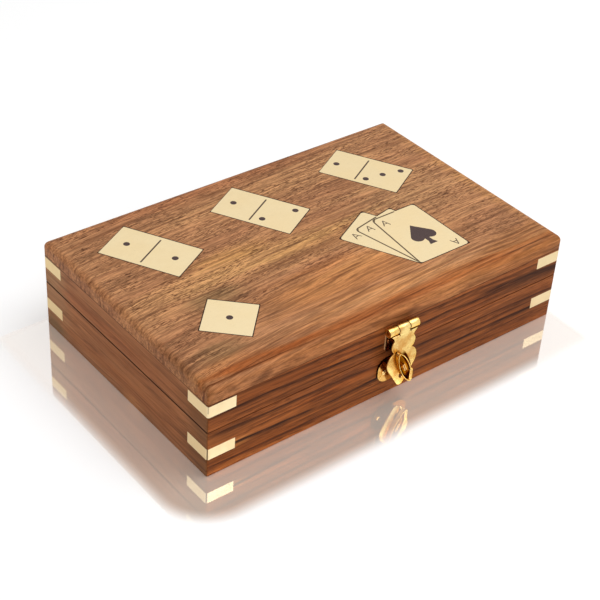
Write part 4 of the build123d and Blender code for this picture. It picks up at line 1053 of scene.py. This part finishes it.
knuckle = surface("rolled_knuckle", rolled_knuckle(-KNUCKLE_HALF_MM, KNUCKLE_HALF_MM, math.radians(-62),
    math.radians(285)), leaf_brass, "hasp", round_first=True)
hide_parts("hasp_drop_leaf")
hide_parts("hasp_drop_leaf")


# --- Clasp: turning loop ---
# A cast almond-shaped thumb loop, hollow, with a flared rim and a tab at its lower end, on a shank that is
# peened over inside it. Its hollow has painted shade and reflection, amber in the middle and brown at its
# ends and left.
LOOP_TAB_MM = (4.2, 12.1, 0.95, 3.2)    # middle along X and Z, half width, half height
loop_low, loop_high = (np.array(corner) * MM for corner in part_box("turn_loop"))
loop_front, loop_back = loop_low[1], loop_high[1]

# From the rim's outside round the wall: how far in from the outline, and how far behind the rim.
LOOP_PROFILE_MM = [
    (2.80, 2.20), (1.20, 2.20), (0.30, 2.20), (0.05, 2.05), (0.12, 1.50), (0.22, 0.90), (0.10, 0.42),
    (0.00, 0.20), (0.04, 0.05), (0.18, 0.00), (0.34, 0.06), (0.50, 0.28), (0.66, 0.80), (0.86, 1.28),
    (1.30, 1.56), (2.00, 1.64), (2.80, 1.64)]


def loop_points():
    """The hollow loop. A listed profile of inset and depth, smoothed as a spline of uniform steps, is
    carried round an almond: X is the half width times the cosine, sharpened by its own fourth root, and Z
    the half length times the sine, both less the inset. The whole is turned by the loop's tilt."""
    knots = np.array(LOOP_PROFILE_MM)
    count = len(knots)
    steps = np.linspace(0, count - 1, 6 * (count - 1) + 1)
    base = np.minimum(steps.astype(int), count - 2)
    t = (steps - base)[:, None]
    before, first = knots[np.maximum(base - 1, 0)], knots[base]
    second, after = knots[base + 1], knots[np.minimum(base + 2, count - 1)]
    profile = 0.5 * (2 * first + (second - before) * t + (
        2 * before - 5 * first + 4 * second - after) * t ** 2 + (
        3 * first - before - 3 * second + after) * t ** 3)
    inset = np.clip(profile[:, 0], 0, LOOP_HALF_MM[0])[:, None]
    depth = np.clip(profile[:, 1], 0, None)[:, None]
    around = np.linspace(0, 2 * math.pi, 97)[None, :-1]
    across = (LOOP_HALF_MM[0] - inset) * np.cos(around) * np.abs(np.cos(around)) ** 0.25
    along = (LOOP_HALF_MM[1] - 1.5 * inset) * np.sin(around)
    x = across * math.cos(LOOP_TILT) - along * math.sin(LOOP_TILT)
    z = LOOP_Z_MM + across * math.sin(LOOP_TILT) + along * math.cos(LOOP_TILT)
    y = np.broadcast_to(loop_front + depth, x.shape)
    return np.stack([x, y, z], axis=-1) / MM


def tab_points():
    """The tab as a superellipsoid of power 6 in height and width and power 4 in depth, so that its faces
    are nearly flat and its edges round."""
    middle_x, middle_z, half_x, half_z = LOOP_TAB_MM
    middle_y, half_y = (loop_front + loop_back) / 2, (loop_back - loop_front) / 2
    def power(value, exponent):
        return np.sign(value) * np.abs(value) ** exponent
    up = np.linspace(-math.pi / 2, math.pi / 2, 33)[:, None]
    around = np.linspace(0, 2 * math.pi, 49)[None, :-1]
    level = power(np.cos(up), 1 / 3)
    x = middle_x + half_x * level * power(np.cos(around), 1 / 2)
    y = middle_y + half_y * level * power(np.sin(around), 1 / 2)
    z = np.broadcast_to(middle_z + half_z * power(np.sin(up), 1 / 3), x.shape)
    return np.stack([x, y, z], axis=-1) / MM


# Painted shade and reflection in the loop's hollow, by part of it.
HOLLOW_MIDDLE = (180, 116, 32)
HOLLOW_UPPER = (116, 70, 28)
HOLLOW_LOWER = (122, 74, 32)
HOLLOW_LEFT = (84, 44, 16)


def hollow_shade(tree, place):
    """Painted shade and reflection in the loop's hollow by depth behind the rim: amber in the middle, brown
    at its ends and left."""
    spot = parted(tree, place)
    across, along, out_from = loop_reach(tree, place)
    deep = ramp(tree, spot["Y"], loop_front + 0.12, loop_front + 0.9)
    inner = ramp(tree, out_from, 0.84, 0.95, 1.0, 0.0)
    tint = blend(tree, ramp(tree, along, -0.1, 0.3), colour(*HOLLOW_MIDDLE), colour(*HOLLOW_UPPER))
    tint = blend(tree, ramp(tree, along, -0.7, -0.4, 1.0, 0.0), tint, colour(*HOLLOW_LOWER))
    tint = blend(tree, ramp(tree, across, -0.5, -0.2, 1.0, 0.0), tint, colour(*HOLLOW_LEFT))
    return reckon(tree, "MULTIPLY", deep, inner), tint


def shank_slot_shade(tree, place):
    """Painted shade in amber down the middle of the peened head, between its two glints."""
    across, along, out_from = loop_reach(tree, place)
    aside = reckon(tree, "ABSOLUTE", across)
    return ramp(tree, aside, 0.04, 0.1, 0.95, 0.0), colour(120, 66, 20)


loop_brass = brass("loop_brass", (246, 216, 140), (222, 168, 84), 2.5, 0.14, 0.26, 0.00001, overlay=hollow_shade)
shank_brass = brass("shank_brass", (255, 216, 150), (246, 190, 116), 1.2, 0.1, 0.2, 0.00001, overlay=shank_slot_shade)
loop = surface("almond_loop", loop_points(), loop_brass, "turn", round_first=True)
tab = surface("loop_tab", tab_points(), loop_brass, "turn", round_first=True)
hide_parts("turn_loop")
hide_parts("turn_loop")
dress(shank_brass, "turn_shank")
